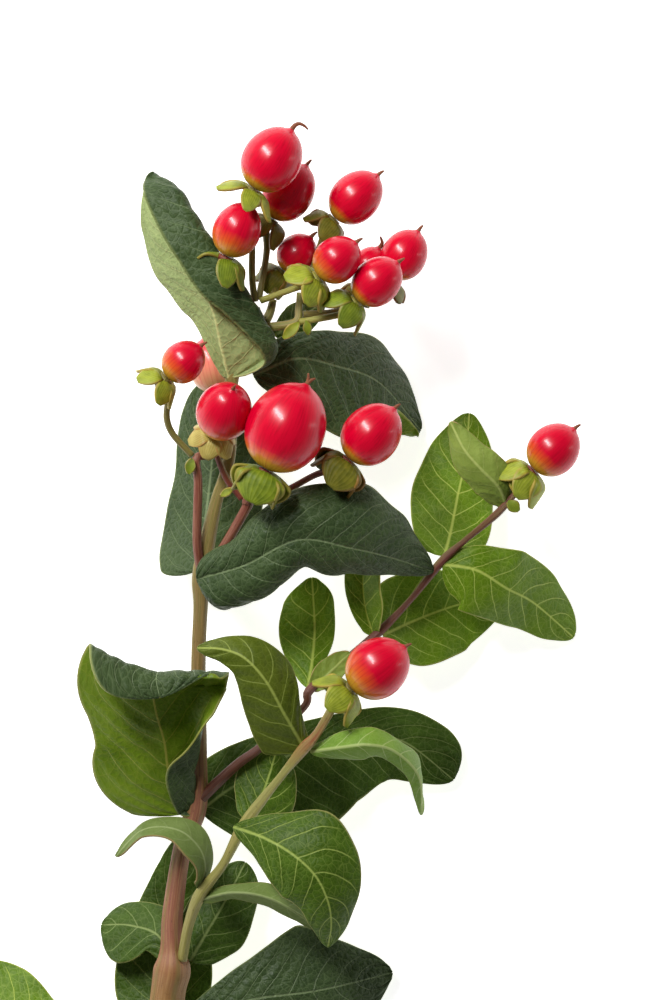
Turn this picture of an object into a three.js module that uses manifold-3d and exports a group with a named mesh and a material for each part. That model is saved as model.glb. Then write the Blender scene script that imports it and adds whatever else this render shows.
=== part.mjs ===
// Hypericum berry stem: a cut stem that lies on a table, seen from above.
//
// Frame: millimetres, +Z up from the table, +Y along the stem from its cut end to the berries.
// Every table below is in the sprig's own frame: X across, Y up the stem, Z above the table.
// The last lines shift the whole sprig so that the origin is the middle of its footprint.
//
// What grew as one piece is one node: 3 stems, 25 leaves, 16 berries with their styles, and
// 16 calyxes, each with its five sepals and the stalk that carries it. A node keeps a small
// gap to every node made before it, so that no two solids share space.

import * as THREE from 'three';
import { mergeVertices } from 'three/addons/utils/BufferGeometryUtils.js';
import Module from 'manifold-3d';

const wasm = await Module();
wasm.setup();
const { Manifold, Mesh: SolidMesh } = wasm;

const GAP = 0.3; // air left between two neighbouring pieces
const LEAF_THICKNESS = 0.7;
const SEPAL_THICKNESS = 0.8; // along a sepal's middle; its edges are sharp
const ROUGHNESS = 0.06; // detail smaller than this, left by the cuts, is merged away
const MIN_END = 0.16; // width left at a leaf's closed end, as a share of its full width
const SLOPING_WIDTH = 2; // half width from which a blade has its full lift
const ROLLING_WIDTH = 6; // half width from which a blade has its full curl

const STEM_SIDES = 8;
const STALK_SIDES = 6;
const STALK_RADIUS = 0.6;
const BERRY_SIDES = 12;
const BERRY_BANDS = 7;
const SEPAL_ROWS = 3;
const SEPAL_STAGGER = 0.083; // each sepal of a calyx starts this much below the one before

const COLOURS = {
  stem: { color: 0x8a6a3c, roughness: 0.65, metalness: 0 },
  shoot: { color: 0x7a4a30, roughness: 0.6, metalness: 0 },
  leaf_dark: { color: 0x2f4a2a, roughness: 0.5, metalness: 0 },
  leaf_bright: { color: 0x6d8f1f, roughness: 0.5, metalness: 0 },
  calyx: { color: 0x93a033, roughness: 0.55, metalness: 0 },
  berry: { color: 0xc2142c, roughness: 0.2, metalness: 0 },
};

// ---------------------------------------------------------------- the sprig's own sizes

// Each line of a stem is [x, y, z, radius]; the first is the trunk, the others branch from it.
const STEMS = [
  { name: 'main_stem', colour: 'stem', lines: [
    [[1.5, 0, 3, 3], [4, 14.5, 4.6, 3.1], [5, 23, 7.5, 3], [5.7, 27, 9, 3.2], [5.7, 30.6, 9.4, 2.1],
      [5.8, 37, 10.2, 1.8], [7.6, 49, 12.5, 1.6], [10, 56, 14, 1.9], [10.6, 65.6, 15.5, 1.4],
      [10.5, 82, 17.5, 1.3], [10.9, 92.4, 19, 1.3], [11.2, 99, 20, 1.7], [13.6, 110.7, 22, 1.15],
      [16.1, 119.5, 23, 1.15], [16.6, 133.5, 24, 1.3], [19.5, 139, 25.4, 1.1], [21.5, 143, 26.6, 1.1]],
    [[11, 99, 21, 0.9], [10.3, 104.4, 23, 0.8], [10.5, 114.5, 24.5, 0.8], [10.2, 119, 25, 0.8],
      [12.4, 119.6, 24, 0.7]],
    [[11.3, 99, 21, 1], [14.1, 101.6, 23.5, 0.9], [18.9, 109.7, 25.8, 0.9], [19.5, 111.4, 26.4, 1.1],
      [20, 112.1, 27.7, 0.8]],
    [[21.3, 142.2, 26.6, 0.9], [20.9, 146, 28, 0.8]],
    [[21.5, 142, 26.2, 0.9], [23.3, 145, 26, 0.8], [24, 147.6, 26.4, 0.7]],
    [[21.3, 142.4, 26.6, 0.8], [27.8, 143.4, 27, 0.8], [28.6, 146, 26.4, 0.7], [28.8, 148.8, 26, 0.6]],
  ] },
  { name: 'right_shoot', colour: 'shoot', lines: [
    [[10.7, 57.6, 15, 1], [17.3, 63.8, 17, 0.85], [22, 67.3, 18, 0.75], [29.5, 74.3, 18, 0.65],
      [30.5, 77.3, 17.5, 0.8], [36, 82, 15.5, 0.6], [42.5, 87.3, 14.5, 0.8], [48.5, 93.4, 15.5, 0.55],
      [54.4, 100.6, 17, 0.8], [58.5, 104.3, 18, 0.55], [64.1, 109, 20, 0.7], [67.8, 113, 21, 0.55]],
  ] },
  { name: 'lower_shoot', colour: 'stem', lines: [
    [[7.5, 28.6, 11, 0.9], [8.8, 35.3, 14, 0.9], [11, 40.8, 17.5, 1.1], [15, 46.1, 20, 0.8],
      [19, 53.6, 22.5, 1.1], [25.3, 61.8, 25, 0.75], [29.5, 67, 27, 1.1], [31.8, 69.6, 28, 0.8],
      [35, 74.9, 29, 0.8]],
  ] },
];

// A berry: its middle, the way its style points, and [width, length].
const BERRIES = [
  { at: [23.9, 172.6, 37], to: [0.55, 0.83, 0.15], size: [10.6, 12.4] },
  { at: [26.9, 166.9, 27], to: [0.52, 0.8, 0.1], size: [8.9, 11.2] },
  { at: [17.6, 160, 35], to: [0.38, 0.88, 0.2], size: [8.6, 10.2] },
  { at: [38.9, 166, 28], to: [0.7, 0.7, 0.1], size: [8.8, 10.8] },
  { at: [28.3, 155.9, 24], to: [0.6, 0.7, 0.2], size: [7, 7.8] },
  { at: [35.5, 154.7, 35], to: [0.7, 0.62, 0.25], size: [8.2, 9.2] },
  { at: [42.7, 150.8, 33], to: [0.72, 0.65, 0.2], size: [8.4, 10] },
  { at: [47.6, 155.7, 24], to: [0.5, 0.85, 0.1], size: [8.2, 9.6] },
  { at: [41.4, 153.6, 23], to: [0.4, 0.85, 0.1], size: [6.6, 7.4] },
  { at: [8, 136.4, 33], to: [0.68, 0.62, 0.25], size: [7.4, 8.3] },
  { at: [12.9, 135.9, 16], to: [-0.2, 0.9, 0.1], size: [8.4, 10.2] },
  { at: [15.3, 127.6, 35], to: [0.25, 0.62, 0.7], size: [10, 11.6] },
  { at: [26.4, 124.6, 37], to: [0.42, 0.88, 0.15], size: [14.3, 16.7] },
  { at: [41.7, 123.4, 33], to: [0.66, 0.74, 0.15], size: [10.3, 12.1] },
  { at: [74.5, 120.7, 21], to: [0.7, 0.7, 0.15], size: [9.1, 10.3] },
  { at: [42.8, 81.5, 31], to: [0.78, 0.6, 0.2], size: [10.8, 12.2] },
];

// A calyx, in the berries' order. turns: where its five sepals stand round the berry, in degrees,
// 0 towards the viewer and 90 to its right, seen with the style up. reflex: how far a sepal bends
// back from the way the style points. sepal: [width, length]. stalk: from the berry down to its
// branch.
const CALYXES = [
  { turns: [70, 10, 300, 234, 162], reflex: 108, sepal: [3.8, 6.5],
    stalk: [[20.2, 160, 29], [20.2, 152, 28], [20.7, 147.2, 28]] },
  { turns: [270, 342, 54, 126, 198], reflex: 143, sepal: [3.8, 6],
    stalk: [[22.8, 156, 26], [21.4, 147.6, 27.6]] },
  { turns: [75, 22, 130, 190, 248], reflex: 125, sepal: [4.6, 6.8],
    stalk: [[17.8, 150.5, 31], [20.1, 147, 28.6]] },
  { turns: [88, 12, 292, 222, 155], reflex: 134, sepal: [4.5, 5.5],
    stalk: [[32.5, 157.5, 26], [30.4, 151, 25.5], [29, 149.6, 26]] },
  { turns: [0, 72, 144, 216, 288], reflex: 155, sepal: [4.6, 5.6],
    stalk: [[24.6, 150, 24.5], [24, 148.4, 26]] },
  { turns: [314, 28, 84, 240, 165], reflex: 124, sepal: [5.8, 6.2],
    stalk: [[28.3, 149.7, 31], [21.8, 147.4, 28.6]] },
  { turns: [310, 250, 20, 95, 175], reflex: 135, sepal: [4.8, 6.4],
    stalk: [[36, 144.9, 30], [31.4, 144, 28.6], [28.8, 143.6, 27.8]] },
  { turns: [264, 337, 48, 123, 195], reflex: 114, sepal: [4, 5],
    stalk: [[42, 147.5, 22], [35, 145.4, 25], [29.4, 145, 26.4]] },
  { turns: [270, 342, 54, 126, 198], reflex: 130, sepal: [3, 4],
    stalk: [[38, 148, 22], [33, 147.4, 24], [29.4, 147.4, 26.2]] },
  { turns: [90, 34, 316, 258, 170], reflex: 125, sepal: [4.2, 5.4],
    stalk: [[5, 130, 29.6], [4.9, 126.3, 27.5], [6, 123.4, 26], [9.4, 119.6, 25]] },
  { turns: [90, 20, 310, 240, 165], reflex: 150, sepal: [3.6, 6],
    stalk: [[13.4, 125, 17], [12.6, 120.6, 23.4]] },
  { turns: [0, 60, 300, 125, 235], reflex: 118, sepal: [4.2, 4.8],
    stalk: [[13.8, 120, 28.5], [15.6, 115.5, 26.5], [18.4, 111.8, 26]] },
  { turns: [0, 98, 262, 146, 214], reflex: 150, sepal: [9.6, 7.8],
    stalk: [[20.2, 112.4, 28.4]] },
  { turns: [8, 104, 270, 148, 222], reflex: 142, sepal: [8.2, 7.2],
    stalk: [[31.8, 116.2, 29], [26.5, 113.4, 27], [20.8, 111.2, 26]] },
  { turns: [312, 14, 68, 250, 165], reflex: 136, sepal: [5.8, 7.2],
    stalk: [[68.4, 114, 20.4], [67.9, 113.2, 20.8]] },
  { turns: [70, 2, 288, 215, 142], reflex: 130, sepal: [5.6, 7],
    stalk: [[35.4, 75.4, 29.3]] },
];

// A leaf. path: its midrib from base to tip. left, right: the blade on each side of the midrib,
// seen from the base: half is its width at each point of the path, lift the slope it starts at,
// and curl how far it then bends, in degrees; fold says where across the half it bends, and bend
// how wide that stretch is, as shares of the half. ends: how long the rounded base and tip are,
// as shares of the length. across: how many strips the blade has from edge to edge.
const LEAVES = [
  { name: 'leaf_top_left', colour: 'leaf_dark', across: 14,
    path: [[16, 133.5, 25], [14.7, 139, 27], [13, 146, 29], [9.5, 152.5, 30], [5, 159.5, 29],
      [2, 165.5, 27],
      [1.6, 169.6, 24]],
    left: { half: [2, 3.4, 6.8, 8.6, 7.6, 3.4, 1.5], lift: [-35], curl: [-20] },
    right: { half: [10, 14.5, 14.5, 14.3, 14.4, 13, 8], lift: [8], curl: [172],
      fold: [0.85, 0.68, 0.5, 0.48, 0.49, 0.5], bend: 0.2 } },
  { name: 'leaf_top_right', colour: 'leaf_dark', across: 10,
    path: [[20.5, 134, 21], [28, 137, 20], [35, 135.8, 17], [43, 132.8, 11], [50.4, 124.4, 2]],
    left: { half: [3, 5, 7, 8.5, 5], lift: [-12], curl: [-20] },
    right: { half: [4, 9, 11.5, 13, 8], lift: [0], curl: [0, 0, 0, 150, 165], fold: [0.6], bend: 0.2 } },
  { name: 'leaf_mid_left', colour: 'leaf_dark',
    path: [[11, 99, 15.5], [11.5, 106, 11.5], [12.3, 113, 8.5], [13, 120, 6.5], [13.5, 128, 5.8],
      [13.5, 134, 6.5]],
    left: { half: [9, 10, 9, 8.5, 8, 5], lift: [-40], curl: [0] },
    right: { half: [4, 9, 10, 9, 7, 4], lift: [-8], curl: [0] } },
  { name: 'leaf_mid_right', colour: 'leaf_dark', across: 10, ends: [0.05, 0.2],
    path: [[10.4, 97.5, 24], [19, 100, 29], [28.5, 104.5, 32], [38, 103, 30], [45, 101.3, 25],
      [52.6, 98.8, 17]],
    left: { half: [3, 7.5, 10, 12.5, 9, 3], lift: [10, 20, 20, 20, 10], curl: [-90, -90, -60, -50, -40] },
    right: { half: [14, 14, 8, 6.5, 4, 2], lift: [20, 5, -10, -20, -30],
      curl: [-170, -150, -60, -40, -30] } },
  { name: 'leaf_right_upper', colour: 'leaf_bright',
    path: [[54.8, 101.5, 15], [56, 106, 11], [57.3, 112.5, 7], [58.7, 119, 3.5], [59.4, 127.2, 1]],
    left: { half: [4, 7, 8.5, 7.4, 4], lift: [-15], curl: [0] },
    right: { half: [3.5, 7, 7, 5.6, 3], lift: [-15], curl: [0] } },
  { name: 'leaf_right_folded', colour: 'leaf_bright',
    path: [[66, 110.3, 20], [64.6, 113.8, 23], [61.5, 117, 24], [58.4, 120.6, 23], [55.9, 125.6, 20]],
    left: { half: [3, 4.8, 4.8, 4, 1.8], lift: [-24], curl: [-20] },
    right: { half: [2.4, 4.4, 4.4, 3.6, 1.6], lift: [-30], curl: [-24] } },
  { name: 'leaf_right_large', colour: 'leaf_bright', ends: [0.05, 0.2],
    path: [[54.6, 100, 17], [60.5, 99, 18], [66, 95.7, 15], [71, 93, 9], [78.2, 86.8, 0.8]],
    left: { half: [2, 4.8, 7.4, 7, 4], lift: [-10], curl: [-12] },
    right: { half: [4, 8, 7, 5.8, 2.6], lift: [-10], curl: [-10] } },
  { name: 'leaf_right_lower', colour: 'leaf_bright',
    path: [[43.8, 87.2, 14], [48.5, 89.4, 10], [54.7, 91.8, 6.5], [59, 92.8, 3.8], [65, 92, 1]],
    left: { half: [6, 9, 8, 6, 3], lift: [-10], curl: [0] },
    right: { half: [4.5, 8.3, 8.6, 7.5, 4.5], lift: [-8], curl: [0] } },
  { name: 'leaf_right_inner', colour: 'leaf_bright',
    path: [[42.2, 87.4, 14], [41, 91, 15], [40.3, 95, 16], [40.3, 99, 17], [40.6, 104, 17]],
    left: { half: [1.5, 2.6, 3.4, 3.4, 2], lift: [-20], curl: [0] },
    right: { half: [1.5, 4, 5, 4.5, 3], lift: [55], curl: [0] } },
  { name: 'leaf_shoot_upright', colour: 'leaf_bright',
    path: [[30.2, 77.8, 14], [31, 83, 12], [31.4, 88, 10], [31.2, 93, 9], [30.9, 97.5, 9]],
    left: { half: [1, 5, 6.5, 5.5, 3], lift: [-10], curl: [0] },
    right: { half: [1, 2.6, 4, 4.2, 3], lift: [-25], curl: [0] } },
  { name: 'leaf_shoot_pale', colour: 'leaf_bright',
    path: [[30.8, 77.6, 17], [33.8, 80.2, 18], [37.8, 84, 17]],
    left: { half: [1, 2.6, 1.5], lift: [0], curl: [0] },
    right: { half: [1, 2.2, 1.5], lift: [0], curl: [0] } },
  { name: 'leaf_shoot_left', colour: 'leaf_dark', ends: [0.06, 0.2],
    path: [[29.8, 66.6, 26], [26, 73.2, 30], [22.8, 79, 32], [19, 83.2, 32], [15, 84.8, 30],
      [10.5, 85, 26]],
    left: { half: [8, 7.5, 6, 4.3, 2.6, 1.6], lift: [-30], curl: [0] },
    right: { half: [1, 4, 6.4, 5, 3.6, 1.6], lift: [-25], curl: [-15] } },
  { name: 'leaf_shoot_right', colour: 'leaf_bright',
    path: [[30.8, 66.4, 26], [36, 67.2, 30], [41, 67.7, 32], [45.8, 66.5, 30], [50.1, 62, 25],
      [50.7, 55, 17]],
    left: { half: [1, 3.6, 4, 3.2, 4, 1.8], lift: [-35], curl: [-20] },
    right: { half: [1, 4, 3.7, 2.6, 2, 1], lift: [-45], curl: [-20] } },
  { name: 'leaf_shoot_back', colour: 'leaf_bright',
    path: [[19.2, 54, 19], [21.5, 57.5, 17], [23.2, 62, 16], [24.5, 66.3, 16]],
    left: { half: [2, 5, 5.6, 3], lift: [-15], curl: [0] },
    right: { half: [4, 6.5, 5.5, 3], lift: [-15], curl: [0] } },
  { name: 'leaf_shoot_front', colour: 'leaf_bright', across: 10, ends: [0.04, 0.14],
    path: [[17, 52.8, 24], [22.5, 50.9, 28], [27.6, 48, 30.6], [31.6, 44.2, 31], [33.8, 39.6, 29.4],
      [34.4, 35.4, 26.4], [33.8, 31.4, 22.4]],
    left: { half: [0.8, 5.4, 10, 9.2, 6.6, 3.8, 1.6], lift: [-12], curl: [-16] },
    right: { half: [0.8, 4.8, 7.5, 7.7, 6, 4, 1.6], lift: [-10], curl: [-14] } },
  { name: 'leaf_shoot_curly', colour: 'leaf_bright',
    path: [[10.7, 41.6, 18], [11.6, 46.2, 20], [9.8, 50, 21], [6, 52.4, 21], [0.5, 52.1, 19],
      [-4.4, 47.4, 15]],
    left: { half: [1.2, 3, 4, 3, 2, 1], lift: [60], curl: [10] },
    right: { half: [1.2, 3, 4, 3.4, 2.4, 1], lift: [-60], curl: [-10] } },
  { name: 'leaf_shoot_narrow', colour: 'leaf_bright',
    path: [[10.8, 39.6, 17], [17, 40.9, 20], [24, 39.6, 20], [32.5, 34.4, 16]],
    left: { half: [1, 2.2, 3.4, 1.5], lift: [-50], curl: [0] },
    right: { half: [1, 2.2, 3, 1.5], lift: [-55], curl: [0] } },
  { name: 'leaf_fork_left', colour: 'leaf_dark', across: 12, ends: [0.06, 0.1],
    path: [[8, 55, 13], [5.3, 62, 17], [4.4, 68, 20], [3, 73.2, 23], [2.4, 77.4, 25.4], [3.2, 80.6, 28.2],
      [3, 79.2, 31], [3.6, 76.2, 31.4]],
    left: { half: [8, 14, 13, 13, 14, 13.5, 12, 7], lift: [-12], curl: [-20] },
    right: { half: [6, 11, 13, 13.5, 13.4, 13, 11, 7], lift: [0], curl: [170, 170, 160, 110, 50, 0, 0],
      fold: [0.4, 0.44, 0.56, 0.8, 0.9], bend: 0.2 } },
  { name: 'leaf_fork_right', colour: 'leaf_dark', ends: [0.08, 0.13],
    path: [[10.8, 55.5, 12], [17, 60, 9], [28, 66, 7.5], [38, 69, 5.5], [47.2, 68, 3.6], [56.5, 61, 2.4]],
    left: { half: [5, 7, 5, 4.4, 6, 7.4], lift: [-10, -10, -10, -8, -4, 0], curl: [0] },
    right: { half: [5, 13, 15, 12, 8, 3], lift: [-10], curl: [0] } },
  { name: 'leaf_low_left', colour: 'leaf_dark',
    path: [[5.4, 28.6, 9], [3, 33, 8], [-2, 34.6, 4.4], [-7, 34.6, 1.2]],
    left: { half: [2.6, 7.4, 7.8, 5.4], lift: [-10], curl: [0] },
    right: { half: [1.5, 5, 5, 4.2], lift: [-5], curl: [0] } },
  { name: 'leaf_low_right', colour: 'leaf_dark',
    path: [[9, 28.4, 9], [12.1, 33.8, 9], [15.2, 39, 8], [18.8, 46, 6]],
    left: { half: [3, 5.6, 5.6, 3], lift: [-15], curl: [0] },
    right: { half: [3, 6.8, 6.2, 4], lift: [-15], curl: [0] } },
  { name: 'leaf_low_back', colour: 'leaf_dark',
    path: [[4, 14, 5], [4, 22, 2.8], [4, 30, 2.2], [4.5, 38, 1.6], [6, 45, 2], [8.4, 52, 2.6]],
    left: { half: [4, 8.6, 8, 5, 3, 2], lift: [-8], curl: [0] },
    right: { half: [4, 8.4, 8.8, 7.4, 5.4, 3], lift: [-8], curl: [0] } },
  { name: 'leaf_low_large_right', colour: 'leaf_dark',
    path: [[5.5, 14.5, 6], [12, 18.6, 8], [20.1, 21.4, 9], [30.2, 22.7, 8], [38, 24.2, 5], [45.3, 26, 1]],
    left: { half: [2, 3.4, 6.8, 12.2, 8, 5], lift: [-10], curl: [0] },
    right: { half: [3, 8, 12, 12.6, 9, 5], lift: [-15], curl: [0] } },
  { name: 'leaf_low_large_left', colour: 'leaf_dark',
    path: [[2.2, 14.5, 6], [-7, 13, 8], [-17, 14.8, 8], [-26, 20.5, 5], [-34.5, 28, 1]],
    left: { half: [2, 9, 11, 9.5, 4], lift: [-12], curl: [0] },
    right: { half: [2, 4, 6, 8, 4], lift: [-12], curl: [0] } },
  { name: 'leaf_top_back', colour: 'leaf_dark',
    path: [[24.3, 141.3, 17], [28.5, 144.2, 15], [33, 147.4, 12]],
    left: { half: [1, 3, 1.5], lift: [-10], curl: [0] },
    right: { half: [1, 3, 1.5], lift: [-10], curl: [0] } },
];

// ---------------------------------------------------------------- curves

const vec = (p) => new THREE.Vector3(p[0], p[1], p[2]);
const degrees = THREE.MathUtils.degToRad;

// One coordinate of an even Catmull-Rom spline through values, at place t in 0 .. values.length - 1.
function splineAt(values, t) {
  const last = values.length - 1;
  if (last === 0) return values[0];
  const i = Math.min(Math.floor(t), last - 1);
  const f = t - i;
  const b = values[i];
  const c = values[i + 1];
  const a = i > 0 ? values[i - 1] : 2 * b - c;
  const d = i + 2 <= last ? values[i + 2] : 2 * c - b;
  const bent = (2 * a - 5 * b + 4 * c - d) * f * f + (3 * b - a - 3 * c + d) * f ** 3;
  return 0.5 * (2 * b + (c - a) * f + bent);
}

function pointAt(path, t) {
  return new THREE.Vector3(...[0, 1, 2].map((axis) => splineAt(path.map((p) => p[axis]), t)));
}

function tangentAt(path, t) {
  const step = 0.01;
  const ahead = pointAt(path, Math.min(t + step, path.length - 1));
  return ahead.sub(pointAt(path, Math.max(t - step, 0))).normalize();
}

// The spline's place that lies a share u of the way along the path's straight chords.
function placeAlong(path, u) {
  const chords = path.slice(1).map((p, i) => vec(p).distanceTo(vec(path[i])));
  let rest = u * chords.reduce((sum, chord) => sum + chord, 0);
  for (let i = 0; i < chords.length; i += 1) {
    if (rest <= chords[i]) return i + rest / chords[i];
    rest -= chords[i];
  }
  return path.length - 1;
}

// ---------------------------------------------------------------- closed solids

function solidFrom(points, triangles) {
  const geometry = new THREE.BufferGeometry();
  const numbers = points.flatMap((p) => [p.x, p.y, p.z]);
  geometry.setAttribute('position', new THREE.Float32BufferAttribute(numbers, 3));
  geometry.setIndex(triangles.flat());
  return solidOf(geometry);
}

function solidOf(geometry) {
  geometry.deleteAttribute('normal');
  geometry.deleteAttribute('uv');
  const merged = mergeVertices(geometry, 1e-4);
  const solid = new Manifold(new SolidMesh({
    numProp: 3,
    vertProperties: new Float32Array(merged.attributes.position.array),
    triVerts: new Uint32Array(merged.index.array),
  }));
  return solid.volume() < 0 ? solid.mirror([1, 0, 0]).mirror([1, 0, 0]) : solid;
}

// A closed tube of rings, each a list of points in turn, with a flat fan at both ends.
function ringSolid(rings) {
  const sides = rings[0].length;
  const triangles = [];
  for (let k = 0; k + 1 < rings.length; k += 1) {
    for (let j = 0; j < sides; j += 1) {
      const a = k * sides + j;
      const b = k * sides + (j + 1) % sides;
      triangles.push([a, b, b + sides], [a, b + sides, a + sides]);
    }
  }
  const end = (rings.length - 1) * sides;
  for (let j = 1; j + 1 < sides; j += 1) {
    triangles.push([0, j + 1, j], [end, end + j, end + j + 1]);
  }
  return solidFrom(rings.flat(), triangles);
}

// A round line of [x, y, z, radius] points, with so many rings from one point to the next.
function tubeSolid(line, sides, ringsEach, grow) {
  const rings = [];
  let side = new THREE.Vector3(0, 0, 1).cross(tangentAt(line, 0)).normalize();
  const steps = (line.length - 1) * ringsEach;
  for (let k = 0; k <= steps; k += 1) {
    const t = k / ringsEach;
    const along = tangentAt(line, t);
    side = side.clone().addScaledVector(along, -side.dot(along)).normalize();
    const up = along.clone().cross(side);
    const radius = splineAt(line.map((p) => p[3]), t) + grow;
    rings.push(Array.from({ length: sides }, (_, j) => {
      const angle = (2 * Math.PI * j) / sides;
      return pointAt(line, t)
        .addScaledVector(side, radius * Math.cos(angle)).addScaledVector(up, radius * Math.sin(angle));
    }));
  }
  return ringSolid(rings);
}

// A thin closed sheet from a grid of { point, normal }: rows run from base to tip, columns across.
function sheetSolid(grid, thickness) {
  const rows = grid.length;
  const columns = grid[0].length;
  const layer = (offset) => grid.flat()
    .map(({ point, normal }) => point.clone().addScaledVector(normal, offset));
  const top = layer(thickness / 2);
  const bottom = layer(-thickness / 2);
  const under = rows * columns;
  const triangles = [];
  const quad = (a, b, c, d) => triangles.push([a, b, c], [a, c, d]);
  for (let i = 0; i + 1 < rows; i += 1) {
    for (let j = 0; j + 1 < columns; j += 1) {
      const a = i * columns + j;
      quad(a, a + 1, a + columns + 1, a + columns);
      quad(under + a, under + a + columns, under + a + columns + 1, under + a + 1);
    }
    const left = i * columns;
    const right = left + columns - 1;
    quad(left, left + columns, under + left + columns, under + left);
    quad(right, under + right, under + right + columns, right + columns);
  }
  for (let j = 0; j + 1 < columns; j += 1) {
    const tip = (rows - 1) * columns + j;
    quad(j, under + j, under + j + 1, j + 1);
    quad(tip, tip + 1, under + tip + 1, under + tip);
  }
  return solidFrom([...top, ...bottom], triangles);
}

// ---------------------------------------------------------------- the sprig's pieces

const roundEnd = (x) => Math.sqrt(Math.max(0, 1 - x * x));

// How wide a blade is at u, as a share of its full width there: its ends are rounded.
function endShare(u, [baseLength, tipLength]) {
  const atBase = u < baseLength ? roundEnd(1 - u / baseLength) : 1;
  const atTip = u > 1 - tipLength ? roundEnd((u - 1 + tipLength) / tipLength) : 1;
  return Math.max(MIN_END, atBase * atTip);
}

// Points across one half of a blade, from the midrib out, by walking along its bending slope.
function halfSection(half, u, t, start, out, up, share, columns, grow) {
  const stepsEach = 4;
  const at = (values) => splineAt(values, u * (values.length - 1));
  const width = splineAt(half.half, t) * share + grow;
  // a narrow end is too stiff to slope or roll as the rest of the blade does
  const lift = at(half.lift) * Math.min(1, width / SLOPING_WIDTH);
  const curl = at(half.curl) * Math.min(1, width / ROLLING_WIDTH);
  const fold = at(half.fold ?? [0.5]);
  const bend = half.bend ?? 0.5;
  const points = [];
  const point = start.clone();
  let normal = up;
  for (let j = 0; j < columns; j += 1) {
    for (let k = 0; k < stepsEach; k += 1) {
      const s = (j + (k + 0.5) / stepsEach) / columns;
      const slope = degrees(lift + curl * THREE.MathUtils.smoothstep(s, fold - bend, fold + bend));
      const step = width / columns / stepsEach;
      point.addScaledVector(out, Math.cos(slope) * step).addScaledVector(up, Math.sin(slope) * step);
      normal = up.clone().multiplyScalar(Math.cos(slope)).addScaledVector(out, -Math.sin(slope));
    }
    points.push({ point: point.clone(), normal });
  }
  return points;
}

function leafSolid(leaf, grow) {
  const rows = leaf.path.length + 3;
  const columns = (leaf.across ?? 6) / 2;
  const ends = leaf.ends ?? [0.08, 0.22];
  let side = tangentAt(leaf.path, 0).cross(new THREE.Vector3(0, 0, 1)).normalize();
  const grid = [];
  for (let i = 0; i <= rows; i += 1) {
    // the rows stand closer together near the two ends
    const even = i / rows;
    const u = 0.5 * even + 0.25 * (1 - Math.cos(Math.PI * even));
    const t = placeAlong(leaf.path, u);
    const middle = pointAt(leaf.path, t);
    const along = tangentAt(leaf.path, t);
    side = side.clone().addScaledVector(along, -side.dot(along)).normalize();
    const up = side.clone().cross(along);
    const share = endShare(u, ends);
    const left = halfSection(leaf.left, u, t, middle, side.clone().negate(), up, share, columns, grow);
    const right = halfSection(leaf.right, u, t, middle, side, up, share, columns, grow);
    grid.push([...left.reverse(), { point: middle, normal: up }, ...right]);
  }
  return sheetSolid(grid, LEAF_THICKNESS + 2 * grow);
}

// The berry's frame: its way out to the style, a side that faces the viewer, and its right.
function berryFrame(berry) {
  const out = vec(berry.to).normalize();
  const front = new THREE.Vector3(0, 0, 1).addScaledVector(out, -out.z).normalize();
  const right = out.clone().cross(front);
  const base = vec(berry.at).addScaledVector(out, -berry.size[1] / 2);
  return { out, front, right, base };
}

// An egg-shaped berry that ends in the short dried style.
function berrySolid(berry, grow) {
  const { out, front, right, base } = berryFrame(berry);
  const [width, length] = berry.size;
  const rings = [];
  const ring = (along, radius) => rings.push(Array.from({ length: BERRY_SIDES }, (_, j) => {
    const angle = (2 * Math.PI * j) / BERRY_SIDES;
    return base.clone().addScaledVector(out, along)
      .addScaledVector(front, radius * Math.cos(angle)).addScaledVector(right, radius * Math.sin(angle));
  }));
  for (let k = 0; k < BERRY_BANDS; k += 1) {
    const turn = Math.PI * (0.06 + (0.86 * k) / (BERRY_BANDS - 1));
    const along = ((1 - Math.cos(turn)) / 2) * length;
    ring(along + grow * -Math.cos(turn), (width / 2) * Math.sin(turn) * (1 + 0.06 * Math.cos(turn)) + grow);
  }
  ring(length * 0.995, 0.55 + grow);
  ring(length + 1.3 + grow, 0.35 + grow);
  return ringSolid(rings);
}

// Five sepals on a small cup under the berry, and the stalk below it.
function calyxSolid(calyx, berry, grow) {
  const { out, front, right, base } = berryFrame(berry);
  const [width, length] = calyx.sepal;
  const cupTop = base.clone().addScaledVector(out, -GAP);
  const cupFoot = base.clone().addScaledVector(out, -2.4);
  const neck = [[cupTop, 1.1], [base.clone().addScaledVector(out, -1.1), 1.3],
      [cupFoot, STALK_RADIUS + 0.1]];
  const line = neck.map(([p, radius]) => [p.x, p.y, p.z, radius]);
  calyx.stalk.forEach((p) => line.push([...p, STALK_RADIUS]));
  let solid = tubeSolid(line, STALK_SIDES, 1, grow);
  calyx.turns.forEach((turn, i) => {
    const away = front.clone().multiplyScalar(Math.cos(degrees(turn)))
      .addScaledVector(right, Math.sin(degrees(turn)));
    const across = out.clone().cross(away);
    // each sepal grows a little below the one before, so that their edges don't meet exactly
    const middle = base.clone().addScaledVector(out, -0.85 - SEPAL_STAGGER * i).addScaledVector(away, 0.8);
    const rings = [];
    for (let row = 0; row <= SEPAL_ROWS; row += 1) {
      const u = row / SEPAL_ROWS;
      // it leaves the cup sideways, then bends back by the reflex
      const slope = degrees(60 + (calyx.reflex - 35) * Math.min(1, 2.2 * u));
      const forward = out.clone().multiplyScalar(Math.cos(slope)).addScaledVector(away, Math.sin(slope));
      const face = across.clone().cross(forward);
      const half = (width / 2) * Math.max(0.12, Math.sin(Math.PI * (0.05 + 0.9 * u))) + grow;
      const thick = SEPAL_THICKNESS / 2 + grow;
      rings.push([
        middle.clone().addScaledVector(across, -half),
        middle.clone().addScaledVector(face, thick),
        middle.clone().addScaledVector(across, half),
        middle.clone().addScaledVector(face, -thick),
      ]);
      middle.addScaledVector(forward, length / SEPAL_ROWS);
    }
    solid = solid.add(ringSolid(rings));
  });
  return solid;
}

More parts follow.
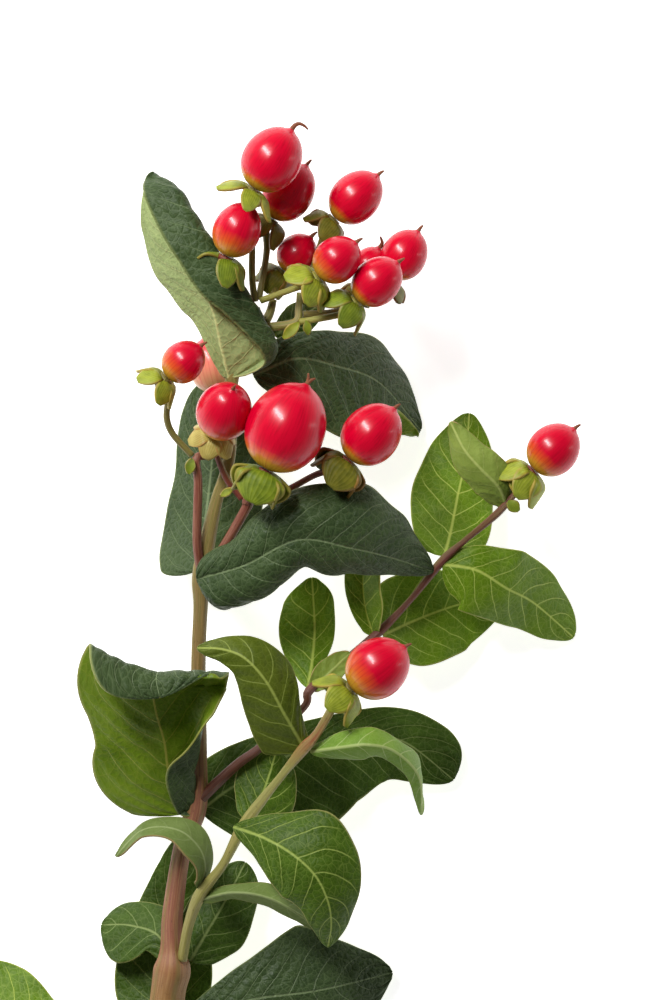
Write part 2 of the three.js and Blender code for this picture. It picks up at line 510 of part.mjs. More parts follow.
function stemSolid(stem, grow) {
  const [trunk, ...branches] = stem.lines;
  return branches.reduce(
    (all, line) => all.add(tubeSolid(line, STALK_SIDES, 1, grow)),
    tubeSolid(trunk, STEM_SIDES, 2, grow),
  );
}

// ---------------------------------------------------------------- the assembly

const numbered = (word, index) => `${word}_${String(index + 1).padStart(2, '0')}`;

const pieces = [
  ...STEMS.map((stem) => ({ name: stem.name, colour: stem.colour, build: (grow) => stemSolid(stem, grow) })),
  ...BERRIES.map((berry, i) => ({
    name: numbered('berry', i), colour: 'berry', build: (grow) => berrySolid(berry, grow),
  })),
  ...CALYXES.map((calyx, i) => ({
    name: numbered('calyx', i), colour: 'calyx', build: (grow) => calyxSolid(calyx, BERRIES[i], grow),
  })),
  ...LEAVES.map((leaf) => ({ name: leaf.name, colour: leaf.colour, build: (grow) => leafSolid(leaf, grow) })),
];

const boxesMeet = (a, b) => [0, 1, 2].every((k) => a.min[k] < b.max[k] && b.min[k] < a.max[k]);

// A solid's largest piece: what a cut has parted from it is too small to stay.
function largestBody(solid) {
  return solid.decompose().reduce((best, body) => (body.volume() > best.volume() ? body : best));
}

function meshOf(solid, name, colour) {
  const { vertProperties, triVerts } = solid.getMesh();
  const geometry = new THREE.BufferGeometry();
  geometry.setAttribute('position', new THREE.BufferAttribute(vertProperties, 3));
  geometry.setIndex(new THREE.BufferAttribute(triVerts, 1));
  geometry.computeVertexNormals();
  const mesh = new THREE.Mesh(geometry, new THREE.MeshStandardMaterial(COLOURS[colour]));
  mesh.name = name;
  return mesh;
}

const sprig = new THREE.Group();
const placed = [];
for (const { name, colour, build } of pieces) {
  let solid = build(0);
  const box = solid.boundingBox();
  for (const earlier of placed) {
    if (boxesMeet(box, earlier.box)) solid = solid.subtract(earlier.fat);
  }
  solid = largestBody(solid.simplify(ROUGHNESS));
  const fat = build(GAP);
  placed.push({ box: fat.boundingBox(), fat });
  sprig.add(meshOf(solid, name, colour));
}

// The origin is the middle of the footprint, on the table.
const bounds = new THREE.Box3().setFromObject(sprig);
const middle = bounds.getCenter(new THREE.Vector3());
sprig.position.set(-middle.x, -middle.y, -bounds.min.z);

export default sprig;
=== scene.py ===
# %% [markdown]
# # Hypericum berry stem
#
# A florist's cut stem lies on a pale table: a woody stem with two side shoots, twenty-five waxy
# leaves and sixteen glossy red berries, each on a small green calyx. The solids of every piece
# already exist in a frame, in metres with +Z up. This script gives each of them its real skin:
# veined blades, ridged bark, soft berry skin and striped sepals.
#
# Every piece is a thin or round natural form that bends in many small ways at once. Such a form
# is easier to say in numbers than to pull by hand, so each piece starts as a flat grid that is
# laid along a smooth line, then gets its thickness from a modifier.

import math

import bpy
import numpy as np
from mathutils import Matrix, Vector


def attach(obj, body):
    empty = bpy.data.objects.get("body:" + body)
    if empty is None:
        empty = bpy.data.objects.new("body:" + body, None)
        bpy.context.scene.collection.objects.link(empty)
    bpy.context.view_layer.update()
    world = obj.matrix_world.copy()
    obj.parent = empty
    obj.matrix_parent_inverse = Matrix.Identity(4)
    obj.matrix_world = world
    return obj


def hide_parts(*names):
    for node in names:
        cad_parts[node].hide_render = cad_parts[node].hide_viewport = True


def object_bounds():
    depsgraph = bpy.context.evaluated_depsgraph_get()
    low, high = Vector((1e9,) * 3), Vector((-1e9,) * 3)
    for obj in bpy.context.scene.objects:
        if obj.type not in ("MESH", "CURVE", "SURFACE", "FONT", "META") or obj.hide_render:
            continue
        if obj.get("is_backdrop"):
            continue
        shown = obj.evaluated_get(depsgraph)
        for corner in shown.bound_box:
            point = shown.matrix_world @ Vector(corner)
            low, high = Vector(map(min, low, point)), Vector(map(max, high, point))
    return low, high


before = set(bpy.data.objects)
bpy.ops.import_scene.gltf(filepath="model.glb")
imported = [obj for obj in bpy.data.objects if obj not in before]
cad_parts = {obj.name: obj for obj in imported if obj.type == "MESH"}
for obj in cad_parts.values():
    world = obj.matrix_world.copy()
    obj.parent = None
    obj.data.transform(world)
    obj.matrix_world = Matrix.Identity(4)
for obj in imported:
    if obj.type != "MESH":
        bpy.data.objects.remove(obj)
cad_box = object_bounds()

MM = 0.001
# The tables below are in the sprig's own frame, in mm. This brings them to the solids' frame, which
# starts on the table in the middle of the footprint.
SHIFT = np.array([-22.1208, -89.1951, 0.2351])

print("solids in the frame:", len(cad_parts))
print("their box in mm:", [[round(v / MM, 1) for v in corner] for corner in cad_box])

# %% [markdown]
# ## The camera
#
# The stem is seen from straight above through a long lens, so nothing in it looks tapered. A
# camera three metres up with a lens near 600 mm does the same: its long side takes in 180 mm.

# %% Camera
VIEW_MIDDLE = np.array([34.83, 111.6, 20.0])  # sprig frame, mm
VIEW_LONG_SIDE = 180.0
CAMERA_HEIGHT = 2980.0  # above the middle of the sprig
SENSOR = 36.0

aim = (VIEW_MIDDLE + SHIFT) * MM
camera_place = (aim[0], aim[1], aim[2] + CAMERA_HEIGHT * MM)
bpy.ops.object.camera_add(location=camera_place, rotation=(0, 0, 0))
camera = bpy.context.object
camera.data.sensor_width = SENSOR
camera.data.lens = SENSOR * CAMERA_HEIGHT / VIEW_LONG_SIDE
camera.data.clip_end = 50
bpy.context.scene.camera = camera
print("lens in mm:", round(camera.data.lens))

# %% [markdown]
# ## Colour and nodes
#
# Paint shops and screens give a colour as a hex value in sRGB, while a shader counts in linear
# light. One function turns one into the other. A second one adds any node: its settings are the
# node's own choices, and its inputs are plain values or the sockets that feed them.

# %% Colour and node helpers
def linear(colour):
    """An sRGB hex colour such as "#c2142c" as the linear red, green, blue, alpha of a socket."""
    shares = [int(colour[i:i + 2], 16) / 255 for i in (1, 3, 5)]
    return [s / 12.92 if s <= 0.04045 else ((s + 0.055) / 1.055) ** 2.4 for s in shares] + [1.0]


def add(tree, kind, inputs=None, out=0, stops=None, **settings):
    """Adds a node to the tree and returns one of its outputs."""
    made = tree.nodes.new(kind)
    for key, value in settings.items():
        setattr(made, key, value)
    for key, value in (inputs or {}).items():
        if isinstance(value, bpy.types.NodeSocket):
            tree.links.new(value, made.inputs[key])
        else:
            made.inputs[key].default_value = value
    for i, (place, colour) in enumerate(stops or []):
        element = made.color_ramp.elements[i] if i < 2 else made.color_ramp.elements.new(place)
        element.position = place
        element.color = linear(colour)
    return made.outputs[out]


def new_material(name):
    """An empty node material, with the tree and the shader that ends it."""
    material = bpy.data.materials.new(name)
    material.use_nodes = True
    tree = material.node_tree
    return material, tree, tree.nodes["Principled BSDF"]


print("crimson in linear light:", [round(c, 3) for c in linear("#c2142c")])

# %% [markdown]
# ## Table and light
#
# A studio table of matt white card stays pale right up to the leaves because light also comes
# through it from below, so the card glows here. One small tall light stands at the upper left: it
# gives every berry its long highlight and lets the berries throw soft-edged shadows on the leaves.
# A weak strip low at the right draws a pale rim on their far side. The room is white near the
# table and dark above, so that the glossy skins mirror little and keep their full colour.

# %% Table and light
CARD_WIDTH = 12.0  # metres
CARD_GLOW = 0.78
CARD_GRIT = 900.0  # grains of the card's surface per metre
ROOM_LOW, ROOM_HIGH = 0.75, 0.1  # light of the room at the table's level and overhead
OVERHEAD_FROM = 0.6  # a direction's height, 0 level and 1 straight up, where ROOM_HIGH begins

bpy.ops.mesh.primitive_plane_add(size=CARD_WIDTH, location=(0, 0, 0))
table = bpy.context.object
table.name = "table"
card, card_tree, card_shader = new_material("matt white card")
grit = add(card_tree, "ShaderNodeTexNoise", {"Scale": CARD_GRIT, "Detail": 3.0}, out="Fac")
card_tree.links.new(
    add(card_tree, "ShaderNodeMix", {0: grit, 6: linear("#f7f7f6"), 7: linear("#fbfbfa")}, out=2,
        data_type="RGBA"),
    card_shader.inputs["Base Color"])
card_shader.inputs["Roughness"].default_value = 0.9
card_shader.inputs["Specular IOR Level"].default_value = 0.1
card_shader.inputs["Emission Color"].default_value = linear("#ffffff")
card_shader.inputs["Emission Strength"].default_value = CARD_GLOW
table.data.materials.append(card)
table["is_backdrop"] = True

room = bpy.data.worlds.new("white room")
bpy.context.scene.world = room
room.use_nodes = True
room_tree = room.node_tree
way = add(room_tree, "ShaderNodeSeparateXYZ", {0: add(room_tree, "ShaderNodeTexCoord")}, out=2)
glow = add(room_tree, "ShaderNodeMapRange", {0: way, 1: 0.0, 2: OVERHEAD_FROM, 3: ROOM_LOW,
                                             4: ROOM_HIGH}, interpolation_type="SMOOTHSTEP")
room_tree.links.new(glow, room_tree.nodes["Background"].inputs["Strength"])
room_tree.nodes["Background"].inputs["Color"].default_value = linear("#ffffff")


def soft_light(name, place, width, height, watts):
    """A rectangular soft light at a place, all in metres, that faces the sprig."""
    bpy.ops.object.light_add(type="AREA", location=place)
    light = bpy.context.object
    light.name = name
    light.data.shape = "RECTANGLE"
    light.data.size = width
    light.data.size_y = height
    light.data.energy = watts
    away = light.location.normalized()
    light.rotation_euler = away.to_track_quat("Z", "Y").to_euler()


soft_light("tall soft light", (-0.36, 0.5, 0.66), 0.11, 0.5, 9.2)
soft_light("rim strip", (0.85, 0.0, 0.1), 0.06, 0.6, 0.5)
bpy.context.scene.view_settings.view_transform = "Standard"

# %% [markdown]
# ## Smooth lines
#
# Stems, stalks and midribs all follow a few given points. A Catmull-Rom spline runs through
# every point, so a table stays short and still gives a smooth bend.

# %% Splines
SPLINE_STEP = 0.01  # how far ahead and behind a direction is read, as a share of one span


def spline(values, places):
    """An even Catmull-Rom spline through rows of values, at places from 0 to their last index."""
    rows = np.asarray(values, float)
    if len(rows) == 1:
        return np.broadcast_to(rows[0], np.shape(places) + rows.shape[1:]).copy()
    rows = np.concatenate([[2 * rows[0] - rows[1]], rows, [2 * rows[-1] - rows[-2]]])
    first = np.minimum(np.floor(places).astype(int), len(rows) - 4)
    share = (places - first).reshape(np.shape(places) + (1,) * (rows.ndim - 1))
    a, b, c, d = rows[first], rows[first + 1], rows[first + 2], rows[first + 3]
    return 0.5 * (2 * b + (c - a) * share + (2 * a - 5 * b + 4 * c - d) * share ** 2
                  + (3 * b - a - 3 * c + d) * share ** 3)


def along_chords(points, shares):
    """The spline places such shares of the way along the straight chords, and their length."""
    chords = np.linalg.norm(np.diff(np.asarray(points, float)[:, :3], axis=0), axis=1)
    reached = np.concatenate([[0], np.cumsum(chords)])
    length = reached[-1]
    return np.interp(np.asarray(shares) * length, reached, np.arange(len(reached))), length


def carried_frames(points, places):
    """Middle, side and up at each place of a line; the side turns as little as it can."""
    last = len(points) - 1
    middle = spline(points, places)
    ahead = spline(points, np.minimum(places + SPLINE_STEP, last))
    behind = spline(points, np.maximum(places - SPLINE_STEP, 0))
    along = (ahead - behind) / np.linalg.norm(ahead - behind, axis=1)[:, None]
    side = np.cross(along[0], [0, 0, 1])
    sides = []
    for direction in along:
        side = side - direction * side.dot(direction)
        side = side / np.linalg.norm(side)
        sides.append(side)
    sides = np.array(sides)
    return middle, sides, np.cross(sides, along)


print("a spline through 0, 1, 0 half way:", spline([0, 1, 0], np.array([0.5, 1.5])))

# %% [markdown]
# ## Grids that take a shape
#
# Blender's grid primitive is a sheet of squares. Its points know their share across and along,
# and from these a shaping function works out where each belongs. What the finish needs later, such
# as how far a point lies from the midrib, goes into UV maps at the same time. A round form is a
# sheet whose two long edges meet, so its doubles are merged and it closes.

# %% Grid helper
MERGE_DISTANCE = 2e-6  # metres


def shaped_grid(name, columns, rows, shape, materials, wall=None, back_finish=0):
    """A grid whose points go to shape(across, along).

    With a wall, in mm, it is a thick sheet, and back_finish counts on to its back's material.
    Without one it is a round form that closes on itself.
    """
    bpy.ops.object.select_all(action="DESELECT")
    bpy.ops.mesh.primitive_grid_add(x_subdivisions=columns, y_subdivisions=rows, size=2)
    piece = bpy.context.object
    piece.name = name
    mesh = piece.data
    mesh.name = name
    flat = np.empty(len(mesh.vertices) * 3)
    mesh.vertices.foreach_get("co", flat)
    shares = (flat.reshape(-1, 3)[:, :2] + 1) / 2
    points, maps = shape(shares[:, 0], shares[:, 1])
    mesh.vertices.foreach_set("co", ((points + SHIFT) * MM).ravel())
    corners = np.empty(len(mesh.loops), int)
    mesh.loops.foreach_get("vertex_index", corners)
    mesh.uv_layers.remove(mesh.uv_layers[0])
    for title, values in maps.items():
        mesh.uv_layers.new(name=title).data.foreach_set("uv", values[corners].ravel())
    for material in materials:
        mesh.materials.append(material)
    mesh.update()
    if wall is None:
        bpy.ops.object.mode_set(mode="EDIT")
        bpy.ops.mesh.select_all(action="SELECT")
        bpy.ops.mesh.remove_doubles(threshold=MERGE_DISTANCE)
        bpy.ops.mesh.normals_make_consistent(inside=False)
        bpy.ops.object.mode_set(mode="OBJECT")
    else:
        thick = piece.modifiers.new("wall", "SOLIDIFY")
        thick.thickness = wall * MM
        thick.offset = 0
        thick.material_offset = back_finish
        bpy.ops.object.modifier_apply(modifier=thick.name)
    bpy.ops.object.shade_smooth()
    return piece


def joined(pieces, name):
    """Several pieces as one object."""
    bpy.ops.object.select_all(action="DESELECT")
    for piece in pieces:
        piece.select_set(True)
    bpy.context.view_layer.objects.active = pieces[0]
    if len(pieces) > 1:
        bpy.ops.object.join()
    pieces[0].name = name
    return pieces[0]


def dress(piece, node):
    """The piece stands for a solid of the frame: it hangs from the root body and hides that solid.
    """
    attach(piece, "root")
    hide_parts(node)


print("a round form's doubles merge within", MERGE_DISTANCE / MM, "mm")

# %% [markdown]
# ## Leaf blades
#
# A hypericum leaf is a thin waxy blade. Its midrib and a few arching side veins carry the water,
# and a fine net fills the fields between them. On the upper side the veins lie in grooves and the
# fields swell between them; on the underside they stand out as pale cords. All of that follows
# the blade as it rolls, so the pattern is read from UV maps: "mm" holds the distance in mm across
# from the midrib and along it, "veins" counts the side veins and says how near the edge is, and
# "place" says how near the tip is.

# %% Leaf finishes
WOBBLE = 0.16  # bends of the slow wobble per mm
NET_FIELDS = 0.8  # fields of the net per mm
FINE_FIELDS = 2.1  # fields of the finer net inside them, per mm
VEIN_SHARE = 0.05  # half width of a side vein, as a share of the way to the next
VEIN_DRIFT = 0.5  # how far a side vein wanders, as the same share
NET_DRIFT = 1.6  # how far the net wanders, mm
SIDE_VEINS_FADE = (0.7, 0.97)  # where side veins begin and end to fade, 1 being the edge
RIB_AT_BASE, RIB_AT_TIP = 0.42, 0.18  # half width of the midrib, mm
RIB_STRENGTH = 0.8
PATCHES = 0.11  # soft patches of colour per mm
MARGIN_START = 0.955  # where the edge's own colour begins, 1 being the edge
MARGIN_STRENGTH = 0.65
# weights in the relief: how far fields and fine fields rise, and veins cut in
FIELD_RELIEF, FINE_RELIEF, VEIN_RELIEF = 0.35, 0.3, 0.3


def blade_finish(title, deep, bright, vein, edge, groove, roughness, net=0.35, side=0.6):
    """One side of a blade.

    Its four colours are the field's two, the veins' and the rim's. Groove is how deep the relief
    is in mm, below zero where the veins stand out. Net and side say how strongly the net and the
    side veins take the veins' colour.
    """
    material, tree, shader = new_material(title)
    mm = add(tree, "ShaderNodeUVMap", uv_map="mm")
    veins = add(tree, "ShaderNodeSeparateXYZ", {0: add(tree, "ShaderNodeUVMap", uv_map="veins")})
    edge_share = veins.node.outputs[1]
    place = add(tree, "ShaderNodeSeparateXYZ", {0: add(tree, "ShaderNodeUVMap", uv_map="place")})
    across = add(tree, "ShaderNodeMath", {0: add(tree, "ShaderNodeSeparateXYZ", {0: mm})},
                 operation="ABSOLUTE")

    # growth is never even: a slow wobble bends the side veins and the net
    wobble = add(tree, "ShaderNodeTexNoise", {"Vector": mm, "Scale": WOBBLE, "Detail": 2.0},
                 out="Color")
    drift = add(tree, "ShaderNodeVectorMath", {0: wobble, 3: NET_DRIFT}, operation="SCALE")
    bent = add(tree, "ShaderNodeVectorMath", {0: mm, 1: drift}, operation="ADD")
    count = add(tree, "ShaderNodeMath", {0: wobble, 1: VEIN_DRIFT, 2: veins},
                operation="MULTIPLY_ADD")
    off = add(tree, "ShaderNodeMath", {0: count}, operation="FRACT")
    off = add(tree, "ShaderNodeMath", {0: off, 1: 0.5}, operation="SUBTRACT")
    off = add(tree, "ShaderNodeMath", {0: off}, operation="ABSOLUTE")
    lateral = add(tree, "ShaderNodeMapRange", {0: off, 1: 0.0, 2: VEIN_SHARE, 3: 1.0, 4: 0.0},
                  interpolation_type="SMOOTHSTEP")
    fade_from, fade_to = SIDE_VEINS_FADE
    fade = add(tree, "ShaderNodeMapRange", {0: edge_share, 1: fade_from, 2: fade_to, 3: 1.0,
                                            4: 0.0})
    lateral = add(tree, "ShaderNodeMath", {0: lateral, 1: fade}, operation="MULTIPLY")
    rib_width = add(tree, "ShaderNodeMapRange", {0: place, 3: RIB_AT_BASE, 4: RIB_AT_TIP})
    midrib = add(tree, "ShaderNodeMapRange", {0: across, 1: 0.05, 2: rib_width, 3: 1.0, 4: 0.0},
                 interpolation_type="SMOOTHSTEP")

    # the net: thin lines where the fields of a cell pattern meet
    cell = add(tree, "ShaderNodeTexVoronoi", {"Vector": bent, "Scale": NET_FIELDS}, out="Distance",
               feature="DISTANCE_TO_EDGE")
    fine = add(tree, "ShaderNodeTexVoronoi", {"Vector": bent, "Scale": FINE_FIELDS}, out="Distance",
               feature="DISTANCE_TO_EDGE")
    net_line = add(tree, "ShaderNodeMapRange", {0: cell, 1: 0.0, 2: 0.075, 3: 1.0, 4: 0.0},
                   interpolation_type="SMOOTHSTEP")
    fine_line = add(tree, "ShaderNodeMapRange", {0: fine, 1: 0.0, 2: 0.12, 3: 0.45, 4: 0.0},
                    interpolation_type="SMOOTHSTEP")
    lines = add(tree, "ShaderNodeMath", {0: net_line, 1: fine_line}, operation="MAXIMUM")

    # soft patches of deeper and brighter green
    patches = add(tree, "ShaderNodeTexNoise", {"Vector": mm, "Scale": PATCHES, "Detail": 4.0,
                                               "Roughness": 0.6}, out="Fac")
    patches = add(tree, "ShaderNodeMapRange", {0: patches, 1: 0.3, 2: 0.7})
    colour = add(tree, "ShaderNodeMix", {0: patches, 6: linear(deep), 7: linear(bright)}, out=2,
                 data_type="RGBA")
    for line, strength in ((lines, net), (lateral, side), (midrib, RIB_STRENGTH)):
        part = add(tree, "ShaderNodeMath", {0: line, 1: strength}, operation="MULTIPLY")
        colour = add(tree, "ShaderNodeMix", {0: part, 6: colour, 7: linear(vein)}, out=2,
                     data_type="RGBA")
    margin = add(tree, "ShaderNodeMapRange", {0: edge_share, 1: MARGIN_START, 2: 1.0,
                                              4: MARGIN_STRENGTH}, interpolation_type="SMOOTHSTEP")
    colour = add(tree, "ShaderNodeMix", {0: margin, 6: colour, 7: linear(edge)}, out=2,
                 data_type="RGBA")
    tree.links.new(colour, shader.inputs["Base Color"])

    # relief: fields swell between the veins on top, veins stand out below
    swell = add(tree, "ShaderNodeMapRange", {0: cell, 1: 0.0, 2: 0.4, 4: FIELD_RELIEF},
                interpolation_type="SMOOTHSTEP")
    fine_swell = add(tree, "ShaderNodeMath", {0: fine, 1: FINE_RELIEF, 2: swell},
                     operation="MULTIPLY_ADD")
    cords = add(tree, "ShaderNodeMath", {0: lateral, 1: midrib}, operation="MAXIMUM")
    height = add(tree, "ShaderNodeMath", {0: cords, 1: -VEIN_RELIEF, 2: fine_swell},
                 operation="MULTIPLY_ADD")
    bump = add(tree, "ShaderNodeBump", {"Height": height, "Distance": abs(groove) * MM,
                                        "Strength": 1.0}, out="Normal", invert=groove < 0)
    tree.links.new(bump, shader.inputs["Normal"])
    shine = add(tree, "ShaderNodeMapRange", {0: patches, 3: roughness - 0.05, 4: roughness + 0.07})
    tree.links.new(shine, shader.inputs["Roughness"])
    shader.inputs["IOR"].default_value = 1.45
    shader.inputs["Specular IOR Level"].default_value = 0.2
    return material


BLADES = {
    # an old blade's upper side: thick cuticle with a bluish wax bloom over dark green
    "waxy": blade_finish("waxy leaf upper side", "#2a3c1e", "#42542e", "#788860", "#8a9458", 0.3,
                         0.46, net=0.25, side=0.5),
    "deep": blade_finish("deep green leaf upper side", "#283f08", "#425c14", "#87965a", "#9a9c58",
                         0.18, 0.5, net=0.2, side=0.6),
    "olive": blade_finish("olive leaf upper side", "#3d4c08", "#586516", "#9aa650", "#a4a458", 0.12,
                          0.48, net=0.12, side=0.5),
    "fresh": blade_finish("fresh green leaf upper side", "#304806", "#47640d", "#a0b058", "#b0a868",
                          0.16, 0.5, net=0.18, side=0.7),
    # a young blade's own yellow-green, brightened by painted light: the light that would shine
    # through the thin blade is painted into its colour
    "painted_backlight": blade_finish("young leaf with painted light through it", "#4a6a04", "#688a0c", "#bccb62",
                           "#c2c468", 0.13, 0.5, net=0.22, side=0.75),
    "young": blade_finish("pale young leaf", "#5a7c22", "#7c9c3a", "#b0be78", "#b8a878", 0.12, 0.5,
                          net=0.15),
    # undersides have no wax: matt, paler, with the veins standing out
    "pale_underside": blade_finish("matt leaf underside", "#7c8c56", "#9caa70", "#c0c484",
                                   "#a8aa70", -0.24, 0.6, net=0.24),
    "young_underside": blade_finish("young leaf underside", "#637826", "#879846", "#9fab5e",
                                    "#a8875a", -0.12, 0.55, net=0.1, side=0.25),
    "grey_underside": blade_finish("grey-green leaf underside", "#56692c", "#75864a", "#93a06a",
                                   "#9a7a50", -0.12, 0.58, net=0.12, side=0.3),
    "green_underside": blade_finish("bright leaf underside", "#526c08", "#76921c", "#a8ae55",
                                    "#b0b060", -0.2, 0.55),
    "olive_underside": blade_finish("olive leaf underside", "#456006", "#748e22", "#aca64c",
                                    "#9a9450", -0.13, 0.36, net=0.16, side=0.45),
}
print("leaf finishes:", ", ".join(BLADES))

# %% [markdown]
# ## The leaves' shapes
#
# A blade is told by its midrib, drawn through a few points, and by its two halves. Each half has
# a width at every point of the midrib, a slope it starts at and a curl it bends by, so a flat
# leaf, a gutter and a rolled flap are all one kind of shape. Seen from the base, left is the
# half on the left. "front" and "back" name the finishes of its two sides.
#
# A list of one value holds all along the leaf. "fold" is where across the half the curl is centred
# and "bend" how far it reaches to either side, both as shares of the half's width. "ends" is how
# long the rounded base and tip are, as shares of the leaf's length.

